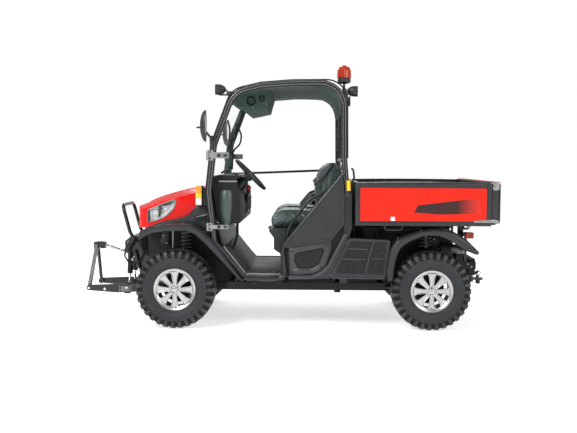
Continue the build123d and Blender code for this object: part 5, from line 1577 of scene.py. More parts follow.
# ---- side panels
@dataclass
class SidePanels:
    """Frames, diamond meshes, ribs and fasteners on the panels below and behind the doors."""

    face: float = 722
    mesh_face: float = 716
    quarter: tuple[Flat, ...] = ((3, 656), (458, 1218), (468, 1072), (468, 823), (362, 690), (35, 641))
    service: tuple[Flat, ...] = (
        (51, 424), (252, 441), (328, 494), (370, 627), (378, 690), (362, 695), (36, 646))
    rocker: tuple[Flat, ...] = ((40, 414), (222, 416), (300, 448), (352, 500), (484, 756))
    engine: tuple[Flat, ...] = (
        (374, 437), (366, 405), (792, 401), (800, 440), (818, 560), (830, 708), (520, 722), (500, 710))

    def build(self) -> None:
        """Builds each panel's dress on both sides."""
        self._quarter()
        self._service()
        self._engine()
        self._rocker()

    def _frame(
            self, outline: Sequence[Flat], inset: float, width: float, y: float, name: str,
            finish: Finish) -> None:
        """A raised border that follows an outline.

        Args:
            outline: the panel's corners.
            inset: how far in the border's middle lies.
            width: the border's half width.
            y: the face it stands on.
            name: the piece's name.
            finish: its finish.
        """
        middle = (sum(x for x, _ in outline) / len(outline), sum(z for _, z in outline) / len(outline))
        ring = []
        for x, z in outline:
            share = 1 - inset / math.dist((x, z), middle)
            ring.append((middle[0] + (x - middle[0]) * share, -y, middle[1] + (z - middle[1]) * share))
        Form().pipe([*ring, ring[0], ring[1]], width, 24).mirrored().piece(
            name, "chassis", finish, slot="frame_black")

    def _quarter(self) -> None:
        """A rolled edge along the top of the quarter panel, a raised line inside its edge and screws."""
        top = [(8, -self.face + 1, 662), (240, -self.face + 1, 949), (452, -self.face + 1, 1210)]
        Form().pipe(top, 5).mirrored().piece("quarter_top_roll", "chassis", DARK_GREY, slot="frame_black")
        self._frame(self.quarter, 34, 2.5, self.face, "quarter_panel_line", PANEL_BLACK)
        screws = Form()
        places = ((56, 672), (440, 1150), (444, 850), (352, 712), (250, 930))
        screws.studs(places, (-self.face + 1, -self.face - 3), 7, 5, sides=16)
        screws.mirrored().piece("quarter_screws", "chassis", IRON)

    def _service(self) -> None:
        """The frame, cover, diamond mesh over a dark sheet of painted shade, screws and dark back of the
        panel under the seats.
        """
        self._frame(self.service, 10, 5, self.mesh_face, "service_frame", FENDER_TOP)
        inner = [(90, 539), (95, 595), (315, 642), (298, 590), (272, 520), (222, 489), (113, 493)]
        outer = [(50, 540), (44, 640), (366, 686), (362, 630), (322, 498), (250, 448), (58, 432)]
        near, far = -self.mesh_face - 4, -self.mesh_face - 10
        cover = Form().skin(56, 1, lambda u, v: between(
            along([*inner, inner[0]], u), along([*outer, outer[0]], u), v, near, far))
        cover.mirrored().piece("service_cover", "chassis", FENDER_TOP, wall=3)
        # A near-black sheet behind the mesh: painted shade in the space behind it.
        back = Form().plate(inner, (-self.mesh_face - 1, -self.mesh_face + 1)).mirrored()
        back.piece("service_mesh_shade", "chassis", DEEP_BLACK, slot="frame_black")
        Form().lattice(inner, -self.mesh_face - 3, 12, 2.2).mirrored().piece(
            "service_mesh", "chassis", MESH_GREY, smooth=20)
        self._frame(inner, 0, 4, self.mesh_face + 3, "service_mesh_rim", DEEP_BLACK)
        screws = Form()
        places = ((66, 452), (66, 622), (340, 664), (292, 492))
        screws.studs(places, (-self.mesh_face, -self.mesh_face - 14), 9, 7, sides=18, edge=1)
        screws.mirrored().piece("service_screws", "chassis", IRON)
        shut = [(40, 402), (40, 655), (380, 705), (462, 805), (478, 770), (376, 560), (342, 470), (262, 404)]
        Form().plate(shut, (-700, -697)).mirrored().piece(
            "service_backs", "chassis", DEEP_BLACK, slot="frame_black")

    def _engine(self) -> None:
        """The border, mesh over a dark sheet of painted shade, and ribs of the panel beside the engine."""
        self._frame(self.engine, 12, 6, self.mesh_face, "engine_panel_border", FENDER_TOP)
        field = [(404, 448), (776, 436), (800, 690), (520, 700)]
        # A near-black sheet behind the mesh: painted shade in the space behind it.
        back = Form().plate(field, (-self.mesh_face - 1, -self.mesh_face + 1)).mirrored()
        back.piece("engine_mesh_shade", "chassis", DEEP_BLACK, slot="frame_black")
        Form().lattice(field, -self.mesh_face - 3, 13, 2.2).mirrored().piece(
            "engine_mesh", "chassis", MESH_GREY, smooth=20)
        ribs = Form()
        for route in (
                ((452, 560), (640, 556)), ((500, 640), (650, 636)), ((640, 444), (664, 560), (700, 694)),
                ((690, 566), (786, 562))):
            ribs.pipe(at_y(route, -self.mesh_face - 2), 7, 30)
        ribs.mirrored().piece("engine_panel_ribs", "chassis", FENDER_TOP)

    def _rocker(self) -> None:
        """The rounded moulding that curves up behind the door, in the lighter grey plastic as a painted
        highlight.
        """
        bar = Form().pipe(at_y(self.rocker, -self.face + 4), 16, 90, sides=18)
        bar.mirrored().piece("rocker_roll", "chassis", FENDER_TOP)


# ---- load bed
@dataclass
class LoadBed:
    """The bed's capped rails, pressed red sides, stripe, latches, hinges, floor ribs and tailgate dress."""

    front: float = 557
    rear: float = 1599
    half: float = 740
    floor_z: float = 850
    top: float = 1155
    side_face: float = 743

    def build(self) -> None:
        """Builds the bed's dress from the rails down."""
        self._rails()
        self._sides()
        self._floor()
        self._fittings()
        self._tailgate()

    def _rails(self) -> None:
        """Rolled caps on the rails with a slightly bowed top, and the lower rail's lip."""
        cap = Form().skin(12, 24, lambda u, v: (
            self.front + v * (self.rear - self.front),
            -self.half - 4 + 46 * (1 - math.cos(u * math.pi)) / 2,
            self.top - 6 + 8 * math.sin(math.pi * u) ** 0.5 + 5 * math.sin(math.pi * v)))
        cap.mirrored().piece("bed_rail_caps", "bed", FRAME_BLACK, wall=5, smooth=50)
        band = Form().block((self.front - 1, -self.half - 4, 1114), (self.rear + 1, -self.half + 4, 1151), 3)
        band.block((self.front - 1, -self.half - 3, 824), (self.rear + 1, -self.half + 3, 857), 3)
        band.block((self.rear - 38, -self.half - 5, 824), (self.rear + 2, -self.half + 4, 1151), 3)
        band.block((self.front - 3, -self.half - 2, 824), (self.front + 33, -self.half + 4, 1151), 3)
        band.mirrored().piece("bed_rail_bands", "bed", PANEL_BLACK)
        # Dark discs on the lower rail stand for its holes: painted shade, with no opening cut.
        hole_shades = Form()
        for number in range(12):
            x = self.front + 60 + number * 80
            hole_shades.bar((x, -self.half - 2, 838), (x, -self.half - 4, 838), 5, sides=14)
        hole_shades.mirrored().piece("bed_rail_hole_shades", "bed", DEEP_BLACK, slot="frame_black")

    def _sides(self) -> None:
        """Pressed lines, the dark stripe that fades out to the rear and a small blank plate."""
        y = self.side_face
        press = Form()
        for route in (((724, 902), (767, 969), (800, 991), (908, 1001)),
                      ((967, 904), (1010, 966), (1053, 1024), (1130, 1046))):
            press.pipe(at_y(route, -y + 1.2), 4, 60, sides=12)
        press.mirrored().piece("bed_pressed_lines", "bed", BED_RED)
        stripe = Form().plate(
            [(1006, 926), (1036, 982), (1501, 1039), (1526, 918), (1187, 912)], (-y - 0.9, -y + 0.5))
        stripe.mirrored().piece("bed_stripe", "bed", STRIPE_BLACK)
        label = Form().block((827, -y - 1.2, 861), (860, -y + 0.4, 892), 0.4).mirrored()
        label.piece("bed_blank_label", "bed", BLANK_PLATE)

    def _floor(self) -> None:
        """Ribs pressed along the floor and up the headboard."""
        ribs = Form()
        for number in range(13):
            y = -630 + number * 105
            ribs.pipe([(self.front + 70, y, self.floor_z), (self.rear - 20, y, self.floor_z)], 9, sides=12)
        for number in range(9):
            y = -600 + number * 150
            ribs.pipe([(self.front + 36, y, 880), (self.front + 36, y, 1110)], 8, sides=12)
        ribs.piece("bed_floor_ribs", "bed", PANEL_BLACK)

    def _fittings(self) -> None:
        """The gate's hinge straps with their bolts, and the wire loops under the sides."""
        strap = Form().plate([(1465, 850), (1612, 850), (1655, 838), (1655, 868), (1612, 876), (1465, 866)],
                             (-self.half - 8, -self.half - 4), 2)
        strap.bar((1640, -self.half - 2, 852), (1640, -self.half - 12, 852), 11, sides=20, edge=2)
        bolts = ((1480, 859), (1530, 859), (1580, 859))
        strap.studs(bolts, (-self.half - 7, -self.half - 11), 6, sides=6, edge=1)
        strap.mirrored().piece("gate_straps", "bed", STEEL)
        loops = Form().pipe(
            [(782, -self.half + 6, 832), (790, -self.half + 2, 786), (914, -self.half + 2, 788),
            (921, -self.half + 6, 832)], 4, 20)
        loops.pipe([(1364, -self.half + 6, 830), (1372, -self.half + 2, 798), (1434, -self.half + 2, 800),
                    (1440, -self.half + 6, 830)], 4, 16)
        loops.mirrored().piece("bed_wire_loops", "bed", IRON)

    def _tailgate(self) -> None:
        """The gate's frame, end caps, dark liner, two pressed panels, handle and latches."""
        x = 1663
        frame = Form()
        for z in (862, 1150):
            frame.block((x - 60, -738, z - 14), (x + 3, 738, z + 14), 4)
        for y in (-730, 0, 730):
            frame.block((x - 4, y - 22, 860), (x + 3, y + 22, 1150), 3)
        for y in (-739, 739):
            frame.block((x - 58, y - 3, 850), (x + 3, y + 3, 1163), 2)
        frame.block((x - 60, -729, 866), (x - 57, 729, 1148), 1)
        frame.piece("gate_frame", "tailgate", PANEL_BLACK)
        press = Form()
        for y in (-370, 370):
            corners = [(x + 0.5, y - 300, 905), (x + 0.5, y + 300, 905), (x + 0.5, y + 300, 1105),
                       (x + 0.5, y - 300, 1105)]
            press.pipe([*corners, corners[0], corners[1]], 6, 30)
        press.piece("gate_pressings", "tailgate", BED_RED)
        handle = Form().pipe(
            [(x, -110, 1120), (x + 22, -100, 1120), (x + 22, 100, 1120), (x, 110, 1120)], 8, 16)
        handle.piece("gate_handle", "tailgate", FRAME_BLACK)
        latch = Form().plate(
            [(1606, 1108), (1622, 1098), (1664, 1104), (1668, 1160), (1610, 1166)], (-746, -738), 4)
        latch.bar((1634, -744, 1128), (1634, -756, 1128), 13, sides=24, edge=2)
        latch.pipe([(1634, -753, 1128), (1612, -753, 1150), (1590, -753, 1156)], 5, 12)
        latch.mirrored().piece("gate_latches", "tailgate", STEEL)


# ---- seats
@dataclass
class Seats:
    """Two padded seats with sewn channels, their runners, recliner hinges and belt buckles."""

    middle: float = 330
    width: float = 470
    cushion: tuple[Flat, ...] = (
        (-106, 796), (-108, 874), (-70, 910), (0, 914), (130, 906), (250, 898), (318, 894), (318, 796))
    back: tuple[Flat, ...] = ((276, 902), (264, 1030), (268, 1144), (332, 1290), (366, 1312), (424, 1308),
                              (434, 1286), (430, 884), (306, 884))
    voxel: float = 6.0
    pressure: float = 4.0
    frames: int = 18
    swell_limit: float = 22
    half_inset: float = 12
    cushion_line: float = 150
    back_line: float = 145

    def build(self) -> None:
        """Builds both seats and what holds them."""
        self._pads("cushion", self.cushion, "seat_cushions", self._cushion_seams, (-123, 784.3, 333, 930))
        self._pads("back", self.back, "seat_backs", self._back_seams, (248, 866, 447, 1327))
        self._hardware()

    def _pads(self, name: str, outline: Sequence[Flat], node: str, seams: Callable[[Vector], float],
              room: tuple[float, float, float, float]) -> None:
        """One swollen pad and its mirror image.

        Args:
            name: the pad's name.
            outline: its side outline before it swells.
            node: the solids it stands for.
            seams: gives how deep the sewing pulls a point in.
            room: lowest X and Z, highest X and Z that the pad may reach.
        """
        half = self.width / 2
        start = (-self.middle - half + self.half_inset, -self.middle + half - self.half_inset)
        form = Form().plate(outline, start, 20, 3)
        mesh = self._swollen(form)
        for vert in mesh.vertices:
            at = vert.co / MM
            at.x = min(max(at.x, room[0]), room[2])
            at.z = min(max(at.z, room[1]), room[3])
            at.y = min(max(at.y, -self.middle - half - 1), -self.middle + half + 1)
            vert.co = at * MM
        mesh.update()
        shifts = [vert.normal * seams(vert.co / MM) * -MM for vert in mesh.vertices]
        for vert, shift in zip(mesh.vertices, shifts):
            vert.co += shift
        for side, sign in (("left", 1), ("right", -1)):
            pad = Form()
            pad.bm.from_mesh(mesh)
            if sign < 0:
                pad.warped(flipped)
            stands = [node] if sign > 0 else []
            made = pad.piece(f"seat_{name}_{side}", "chassis", SEAT_VINYL, *stands, subdivide=1)
        bpy.data.meshes.remove(mesh)

    def _swollen(self, form: Form) -> bpy.types.Mesh:
        """Blows a closed form up as sewn vinyl, evenly remeshed.

        Args:
            form: the pad before it swells.

        Returns:
            The swollen mesh, no point of it moved past the limit.
        """
        scene = bpy.context.scene
        base = bpy.data.meshes.new("pad")
        form.welded().outward()
        form.bm.to_mesh(base)
        form.bm.free()
        pad = placed("pad", base)
        even = pad.modifiers.new("even", "REMESH")
        even.mode = "VOXEL"
        even.voxel_size = self.voxel * MM
        remeshed = bpy.data.meshes.new_from_object(pad.evaluated_get(bpy.context.evaluated_depsgraph_get()))
        pad.modifiers.clear()
        pad.data = remeshed
        before = [vert.co.copy() for vert in remeshed.vertices]
        cloth = pad.modifiers.new("cloth", "CLOTH")
        cloth.settings.quality = 4
        cloth.settings.use_pressure = True
        cloth.settings.uniform_pressure_force = self.pressure
        cloth.settings.effector_weights.gravity = 0
        cloth.settings.tension_stiffness = cloth.settings.compression_stiffness = 25
        cloth.point_cache.frame_start, cloth.point_cache.frame_end = 1, self.frames
        for frame in range(1, self.frames + 1):
            scene.frame_set(frame)
        blown = bpy.data.meshes.new_from_object(pad.evaluated_get(bpy.context.evaluated_depsgraph_get()))
        pad.modifiers.clear()
        for vert, old in zip(blown.vertices, before):
            move = vert.co - old
            if move.length > self.swell_limit * MM:
                vert.co = old + move.normalized() * self.swell_limit * MM
        scene.frame_set(1)
        bpy.data.objects.remove(pad)
        return blown

    def _cushion_seams(self, at: Vector) -> float:
        """How deep the cushion's sewing pulls a point in: two lengthwise lines, one across, one round.

        Args:
            at: a point of the cushion.

        Returns:
            The depth.
        """
        across = abs(at.y + self.middle)
        groove = 0.0
        if at.z > 850:
            groove = max(groove, sewn(6, across - self.cushion_line, 5))
            if across < self.cushion_line:
                groove = max(groove, sewn(5, at.x - 190, 5))
        if across > self.cushion_line or at.x < -60:
            groove = max(groove, sewn(4, at.z - 872, 4))
        return groove

    def _back_seams(self, at: Vector) -> float:
        """How deep the back's sewing pulls a point in: two upright lines, two across, one round.

        Args:
            at: a point of the back.

        Returns:
            The depth.
        """
        across = abs(at.y + self.middle)
        groove = 0.0
        if at.x < 345:
            groove = max(groove, sewn(6, across - self.back_line, 5))
            if across < self.back_line:
                groove = max(groove, sewn(5, at.z - 1180, 5), sewn(5, at.z - 1040, 5))
        if across > 150:
            groove = max(groove, sewn(4, at.x - 345, 4))
        return groove

    def _hardware(self) -> None:
        """Recliner hinges, runners, levers, buckles, latch marks and belts."""
        y = -self.middle - self.width / 2
        plates = Form().plate([(300, 868), (344, 868), (352, 960), (318, 972), (296, 930)], (y - 9, y - 4), 6)
        plates.bar((322, y - 3, 918), (322, y - 15, 918), 17, sides=24, edge=2)
        plates.plate(
            [(-108, 779), (-113, 745), (-82, 733), (-70, 760), (60, 762), (60, 780)], (y - 8, y - 3), 4)
        plates.mirrored().piece("seat_hinges", "chassis", PANEL_BLACK)
        runners = Form()
        for shift in (60, 410):
            runners.block((-60, y + shift - 12, 770), (330, y + shift + 12, 784), 3)
        runners.mirrored().piece("seat_runners", "chassis", STEEL)
        levers = Form().pipe([(-90, y + 90, 776), (-128, y + 90, 776), (-132, y + 240, 776)], 5, 16)
        levers.bar((-120, y - 6, 797), (-104, y - 6, 797), 7, sides=14, edge=2)
        levers.mirrored().piece("seat_levers", "chassis", DEEP_BLACK)
        buckles = Form().block((330, -self.middle + 262, 900), (352, -self.middle + 290, 985), 5)
        buckles.mirrored().piece("belt_buckles", "chassis", DEEP_BLACK)
        marks = Form().block((-22, y - 5, 728), (-8, y + 4, 742), 3).mirrored()
        marks.piece("seat_latch_marks", "chassis", KNOB_RED)
        belts = Form().pipe(
            [(468, -652, 1330), (452, -600, 1290), (446, -470, 1100), (446, -450, 900)], 3, 60, sides=8)
        belts.mirrored().piece("belt_webs", "chassis", DEEP_BLACK)


# ---- cab
@dataclass
class CabTrim:
    """Painted highlight lines on the tubes, door seals, headliner, overhead ducts, far pillar trim, plates
    and hinge fasteners.
    """

    loop: tuple[Flat, ...] = ((-540, 676), (-585, 1080), (-545, 1440), (-392, 1848), (-180, 1899), (60, 1918),
                              (462, 1922), (468, 1340), (492, 1040))
    loop_y: float = 680
    tube: float = 24
    bend: float = 190

    def build(self) -> None:
        """Builds the cab's trim from the roof down."""
        self._highlight_lines_and_door_seals()
        self._headliner()
        self._console()
        self._far_pillar()
        self._plates()
        self._hinge_fasteners()

    def _highlight_lines_and_door_seals(self) -> None:
        """Two fine pale lines painted along the outer face of each side loop as its highlights, and a dark
        door seal inside it.
        """
        # Two pale lines painted along each tube stand for its highlights.
        highlight_lines = Form()
        for shift in (-9, 9):
            face = -self.loop_y - math.sqrt(self.tube ** 2 - shift ** 2) + 0.4
            line = offset_line(self.loop, shift)
            highlight_lines.pipe(at_y(line, face), 1.7, self.bend, sides=8, turns=12)
        highlight_lines.mirrored().piece("tube_highlight_lines", "chassis", PALE_GREY_AND_HIGHLIGHT, smooth=50)
        line = offset_line(self.loop, self.tube + 3)
        lip = Form().pipe(
            at_y(line[:-1], -self.loop_y + 10), 6, self.bend - self.tube - 3, sides=10, turns=12)
        lip.mirrored().piece("door_seals", "chassis", DEEP_BLACK, smooth=50)

    def _headliner(self) -> None:
        """The soft lining under the roof and its padded rear corners."""
        roof = (
            (-372, 1845), (-180, 1881), (60, 1899), (276, 1898), (322, 1892), (362, 1875), (396, 1848),
            (420, 1814), (436, 1776), (442, 1738), (450, 1700))
        lining = Form().skin(
            24, 40, lambda u, v: (along(roof, v)[0], (u - 0.5) * 1270,
            along(roof, v)[1] - 4 * abs(math.sin(u * math.pi * 6)) ** 0.5))
        lining.piece("headliner", "chassis", HEADLINER, wall=3, smooth=40)
        edge = Form().plate(
            [(-147, 1886), (62, 1896), (276, 1890), (320, 1884), (358, 1866), (390, 1840), (414, 1806),
            (430, 1762), (440, 1708), (456, 1708), (450, 1762), (432, 1818), (404, 1856), (368, 1884),
            (322, 1899), (276, 1903), (62, 1904), (-147, 1892)], (-652, -632), 2)
        edge.mirrored().piece("headliner_edges", "chassis", HEADLINER)
        pad = Form().plate(
            [(482, 1887), (496, 1822), (470, 1752), (446, 1764), (429, 1798), (452, 1850)], (-655, -560),
            9)
        pad.mirrored().piece("rear_corner_pads", "chassis", PALE_GREY_AND_HIGHLIGHT, slot="interior_grey")

    def _console(self) -> None:
        """Round air vents, facet lines and screws on the overhead duct."""
        rings, slats = Form(), Form()
        for side in (-1, 1):
            face = side * 429
            for x, z, radius in ((-273, 1800, 34), (-188, 1820, 22)):
                rings.turned(
                    [(radius, 0), (radius + 4, side * 3), (radius - 2, side * 7), (radius - 8, side * 3),
                    (radius - 9, -side * 14), (radius, -side * 14)], (x, face, z), ACROSS, steps=40)
                for number in range(4):
                    level = z + (number - 1.5) * radius * 0.42
                    reach = math.sqrt(max(0, (radius - 9) ** 2 - (level - z) ** 2))
                    slats.block((x - reach, face - 3, level - 2), (x + reach, face + 3, level + 2), 1)
        rings.piece("duct_vent_rings", "chassis", DEEP_BLACK)
        slats.piece("duct_vent_slats", "chassis", DARK_GREY)
        lines = Form().pipe([(-217, -431, 1791), (-258, -431, 1760), (-402, -431, 1759)], 3, 20)
        lines.pipe([(-432, -431, 1784), (-372, -431, 1838), (-275, -431, 1864), (-193, -431, 1880)], 4, 30)
        lines.mirrored().piece("duct_lines", "chassis", CAB_GREY)
        screws = Form().studs(((-258, 1748), (-150, 1775), (-395, 1790)), (-428, -434), 6, 5, sides=14)
        screws.mirrored().piece("duct_screws", "chassis", STEEL)

    def _far_pillar(self) -> None:
        """The trim on the passenger's windscreen post with its clips and two looped hoses."""
        trim = Form().plate(
            [(-420, 1790), (-434, 1749), (-494, 1595), (-512, 1416), (-530, 1189), (-598, 1189),
            (-572, 1428), (-544, 1560), (-448, 1800)], (630, 655), 6)
        trim.piece("far_pillar_trim", "chassis", CAB_GREY)
        clips = Form()
        for x, z in ((-548, 1260), (-536, 1400), (-524, 1520), (-488, 1650)):
            clips.block((x - 4, 622, z - 12), (x + 26, 634, z + 12), 4)
        clips.piece("far_pillar_clips", "chassis", DEEP_BLACK)
        hoses = Form().pipe(
            [(-560, 600, 1700), (-540, 600, 1617), (-545, 600, 1522), (-560, 600, 1420)], 9, 120)
        hoses.pipe(
            [(-462, 618, 1629), (-433, 618, 1559), (-444, 618, 1476), (-512, 618, 1416),
            (-520, 618, 1240)], 8, 90)
        hoses.piece("far_pillar_hoses", "chassis", DEEP_BLACK)

    def _plates(self) -> None:
        """Blank plates, yellow markers and hooks on the rear posts, and the filler pipe beside them."""
        plates = Form().block((452, 600, 1545), (462, 652, 1636), 3).block(
            (452, 600, 1414), (462, 652, 1522), 3)
        plates.piece("post_blank_plates", "chassis", PANEL_BLACK)
        marker = Form().plate(
            [(489, 1089), (520, 1089), (515, 1170), (486, 1170)], (-self.loop_y - 28, -self.loop_y - 23),
            2)
        marker.mirrored().piece("post_markers", "chassis", YELLOW)
        hook = Form().block((500, -668, 1128), (536, -640, 1166), 4)
        hook.pipe([(530, -654, 1150), (548, -654, 1190), (540, -654, 1255), (524, -654, 1262)], 8, 24)
        hook.mirrored().piece("post_hooks", "chassis", FRAME_BLACK)
        pipe = Form().pipe([(516, -560, 1050), (538, -560, 960), (536, -560, 840), (520, -560, 700)], 8, 120)
        pipe.piece("filler_pipe", "chassis", DEEP_BLACK)

    def _hinge_fasteners(self) -> None:
        """Bolts, bushes and slots on the bare hinge halves."""
        heads = ((-505, 1359), (-455, 1359), (-505, 804), (-455, 804))
        bolts = Form().studs(heads, (-713, -717), 14, sides=24, edge=1).studs(heads, (-716, -723), 9, sides=6)
        small = ((-574, 1335), (-574, 1385), (-574, 786), (-574, 820))
        bolts.studs(small, (-713, -719), 7, sides=6, edge=1)
        bolts.mirrored().piece("hinge_bolts", "chassis", IRON, slot="zinc_steel")
        bushes = Form()
        for z in (1359, 804):
            bushes.turned([(9, 0), (17, 0), (17, 12), (9, 12)], (-446, -718, z), ACROSS, steps=32)
        for low, high in ((1322, 1398), (773, 832)):
            bushes.bar((-592, -716, low), (-592, -716, high), 11, sides=24, edge=2)
        bushes.mirrored().piece("hinge_bushes", "chassis", STEEL)


@dataclass
class Dash:
    """The dash's trim, instruments, column shroud, gaiters, pedal pads, ribbed floor mat and scuttle."""

    half: float = 600
    driver_y: float = -330

    def build(self) -> None:
        """Builds the driver's surroundings."""
        self._face()
        self._column()
        self._controls()
        self._mat()
        self._scuttle()

    def _face(self) -> None:
        """The dash's lip, round columns, bars, pocket lines and dials."""
        lip = Form().pipe([(-372, -self.half + 6, 1196), (-372, self.half - 6, 1196)], 12, sides=16)
        lip.piece("dash_lip", "chassis", DARK_GREY, slot="interior_grey")
        column = Form().turned([(0, 1092), (48, 1087), (59, 1068), (59, 960), (50, 850), (38, 806), (0, 800)],
                               (-458, -566, 0), UP, steps=40, closed=False)
        column.mirrored().piece("dash_columns", "chassis", SEAT_VINYL, slot="interior_grey")
        bars = Form().block((-518, -self.half - 9, 1150), (-372, -self.half - 4, 1162), 2)
        bars.mirrored().piece("dash_bars", "chassis", PALE_GREY_AND_HIGHLIGHT, slot="interior_grey")
        pockets = Form()
        for y in (230, 480):
            pockets.pipe(
                [(-342, y - 90, 880), (-342, y + 90, 880), (-342, y + 90, 1010), (-342, y - 90, 1010),
                (-342, y - 90, 880), (-342, y, 880)], 4, 18)
        pockets.pipe(
            [(-343, -90, 860), (-343, 60, 860), (-343, 60, 1010), (-343, -90, 1010), (-343, -90, 860),
            (-343, -20, 860)], 4, 18)
        pockets.piece("dash_pocket_lines", "chassis", DARK_GREY, slot="interior_grey")
        dials = Form()
        axis = (0.5, 0, 1)
        for y, radius in ((-330, 46), (-250, 24), (-410, 24)):
            centre = (-388, y, 1196)
            dials.turned(
                [(radius, 0), (radius + 5, 3), (radius + 5, 9), (radius, 10)], centre, axis, steps=36)
            dials.turned([(0, 2), (radius, 2), (radius, 4), (0, 4)], centre, axis, steps=36, closed=False)
        dials.piece("dash_dials", "chassis", DEEP_BLACK)

    def _column(self) -> None:
        """The shroud, stalk and hub cap of the steering wheel."""
        shroud = Form().turned(
            [(30, 0), (46, 20), (52, 90), (44, 120), (30, 120)], (-330, self.driver_y, 1160),
            (-1, 0, -1), steps=32)
        shroud.piece("column_shroud", "chassis", DARK_GREY)
        stalk = Form().pipe([(-345, self.driver_y - 30, 1160), (-330, self.driver_y - 110, 1180),
                             (-326, self.driver_y - 150, 1184)], 6, 20)
        stalk.ball((-326, self.driver_y - 152, 1184), 10)
        stalk.piece("column_stalk", "chassis", DEEP_BLACK)
        cap = Form().turned(
            [(0, 8), (20, 7), (32, 2), (34, -4), (0, -4)], (-283, self.driver_y, 1207), (1, 0, 1),
            steps=36, closed=False)
        cap.piece("steering_cap", "steering_wheel", PANEL_BLACK, slot="black_plastic")

    def _controls(self) -> None:
        """Gaiters under the levers, coloured knobs and ribbed pedal pads."""
        gaiters = Form()
        for x, y, z, lean in ((-457, -140, 1140, -10), (-313, -120, 1090, 28), (-318, -60, 1060, 30)):
            gaiters.turned([(9, 34), (15, 24), (12, 18), (20, 8), (17, 2), (26, -8), (26, -12), (9, -12)],
                           (x - lean * 0.85, y, z - 78), (lean / 90, 0, 1), steps=24)
        gaiters.piece("lever_gaiters", "chassis", DEEP_BLACK)
        knobs = Form().ball(
            (-313, -120, 1090), 20.5, squash=(1, 1, 1.25)).ball((-457, -140, 1140), 20.5,
            squash=(1, 1, 1.2))
        knobs.piece("lever_knobs", "chassis", KNOB_RED)
        ribs = Form()
        for y in (self.driver_y + 30, self.driver_y + 150):
            for number in range(5):
                t = 0.14 + number * 0.18
                x, z = -424 + 30 * t, 596 + 40 * t
                ribs.pipe([(x + 2, y - 28, z), (x + 2, y + 28, z)], 2.4, sides=8)
        ribs.piece("pedal_ribs", "chassis", STEEL)

    def _mat(self) -> None:
        """The ribbed mat on the floor and up the toe board, with a smooth border."""
        floor = ((48, 422), (-292, 422), (-466, 640))
        sheet = Form().skin(
            2, 24, lambda u, v: (along(floor, v)[0], (u - 0.5) * 1210, along(floor, v)[1] + 1.5))
        sheet.piece("floor_mat", "chassis", FLOOR_MAT, wall=2)
        ribs = Form()
        for number in range(44):
            x, z = along(floor, 0.04 + 0.92 * number / 43)
            for low, high in ((-585, -30), (30, 585)):
                ribs.pipe([(x, low, z + 3), (x, high, z + 3)], 3.2, sides=6)
        ribs.piece("floor_mat_ribs", "chassis", FLOOR_MAT)
        edge = Form().pipe([(-300, -634, 424), (8, -634, 424)], 8, sides=12)
        edge.pipe([(-306, -634, 430), (-474, -634, 640)], 8, sides=12)
        edge.mirrored().piece("floor_edges", "chassis", PALE_GREY_AND_HIGHLIGHT, slot="black_plastic")

    def _scuttle(self) -> None:
        """Inlet fins, lamp lenses in their cases, side covers and the passenger's grab bar."""
        fins = Form()
        for number in range(9):
            z = 976 + number * 15.5
            fins.block((-644, -647, z), (-602, -639, z + 7), 1.5)
        fins.mirrored().piece("inlet_fins", "chassis", PANEL_BLACK)
        clear = Form().block((-692, -667, 972), (-645, -600, 1024), 5)
        clear.mirrored().piece("marker_clear_lenses", "chassis", LAMP_WHITE)
        yellow = Form().block((-692, -667, 1026), (-645, -600, 1062), 5)
        yellow.mirrored().piece("marker_yellow_lenses", "chassis", YELLOW)
        case = Form().block((-648, -662, 966), (-640, -570, 1122), 3).block(
            (-692, -600, 966), (-645, -566, 1120), 4)
        case.mirrored().piece("marker_cases", "chassis", DEEP_BLACK)
        cover = Form().plate(
            [(-700, 962), (-612, 962), (-606, 894), (-700, 876), (-748, 872)], (-600, -590), 5)
        cover.plate([(-612, 962), (-600, 962), (-560, 812), (-606, 812)], (-612, -560), 5)
        cover.mirrored().piece("scuttle_covers", "chassis", PANEL_BLACK)
        slot = Form().pipe([(-697, -602, 872), (-607, -602, 892)], 3, sides=8).mirrored()
        slot.piece("scuttle_slots", "chassis", PALE_GREY_AND_HIGHLIGHT)
        grab = Form().pipe(
            [(-566, 560, 1215), (-540, 420, 1240), (-540, 240, 1240), (-566, 120, 1215)], 10, 30)
        grab.piece("passenger_grab_bar", "chassis", DEEP_BLACK)


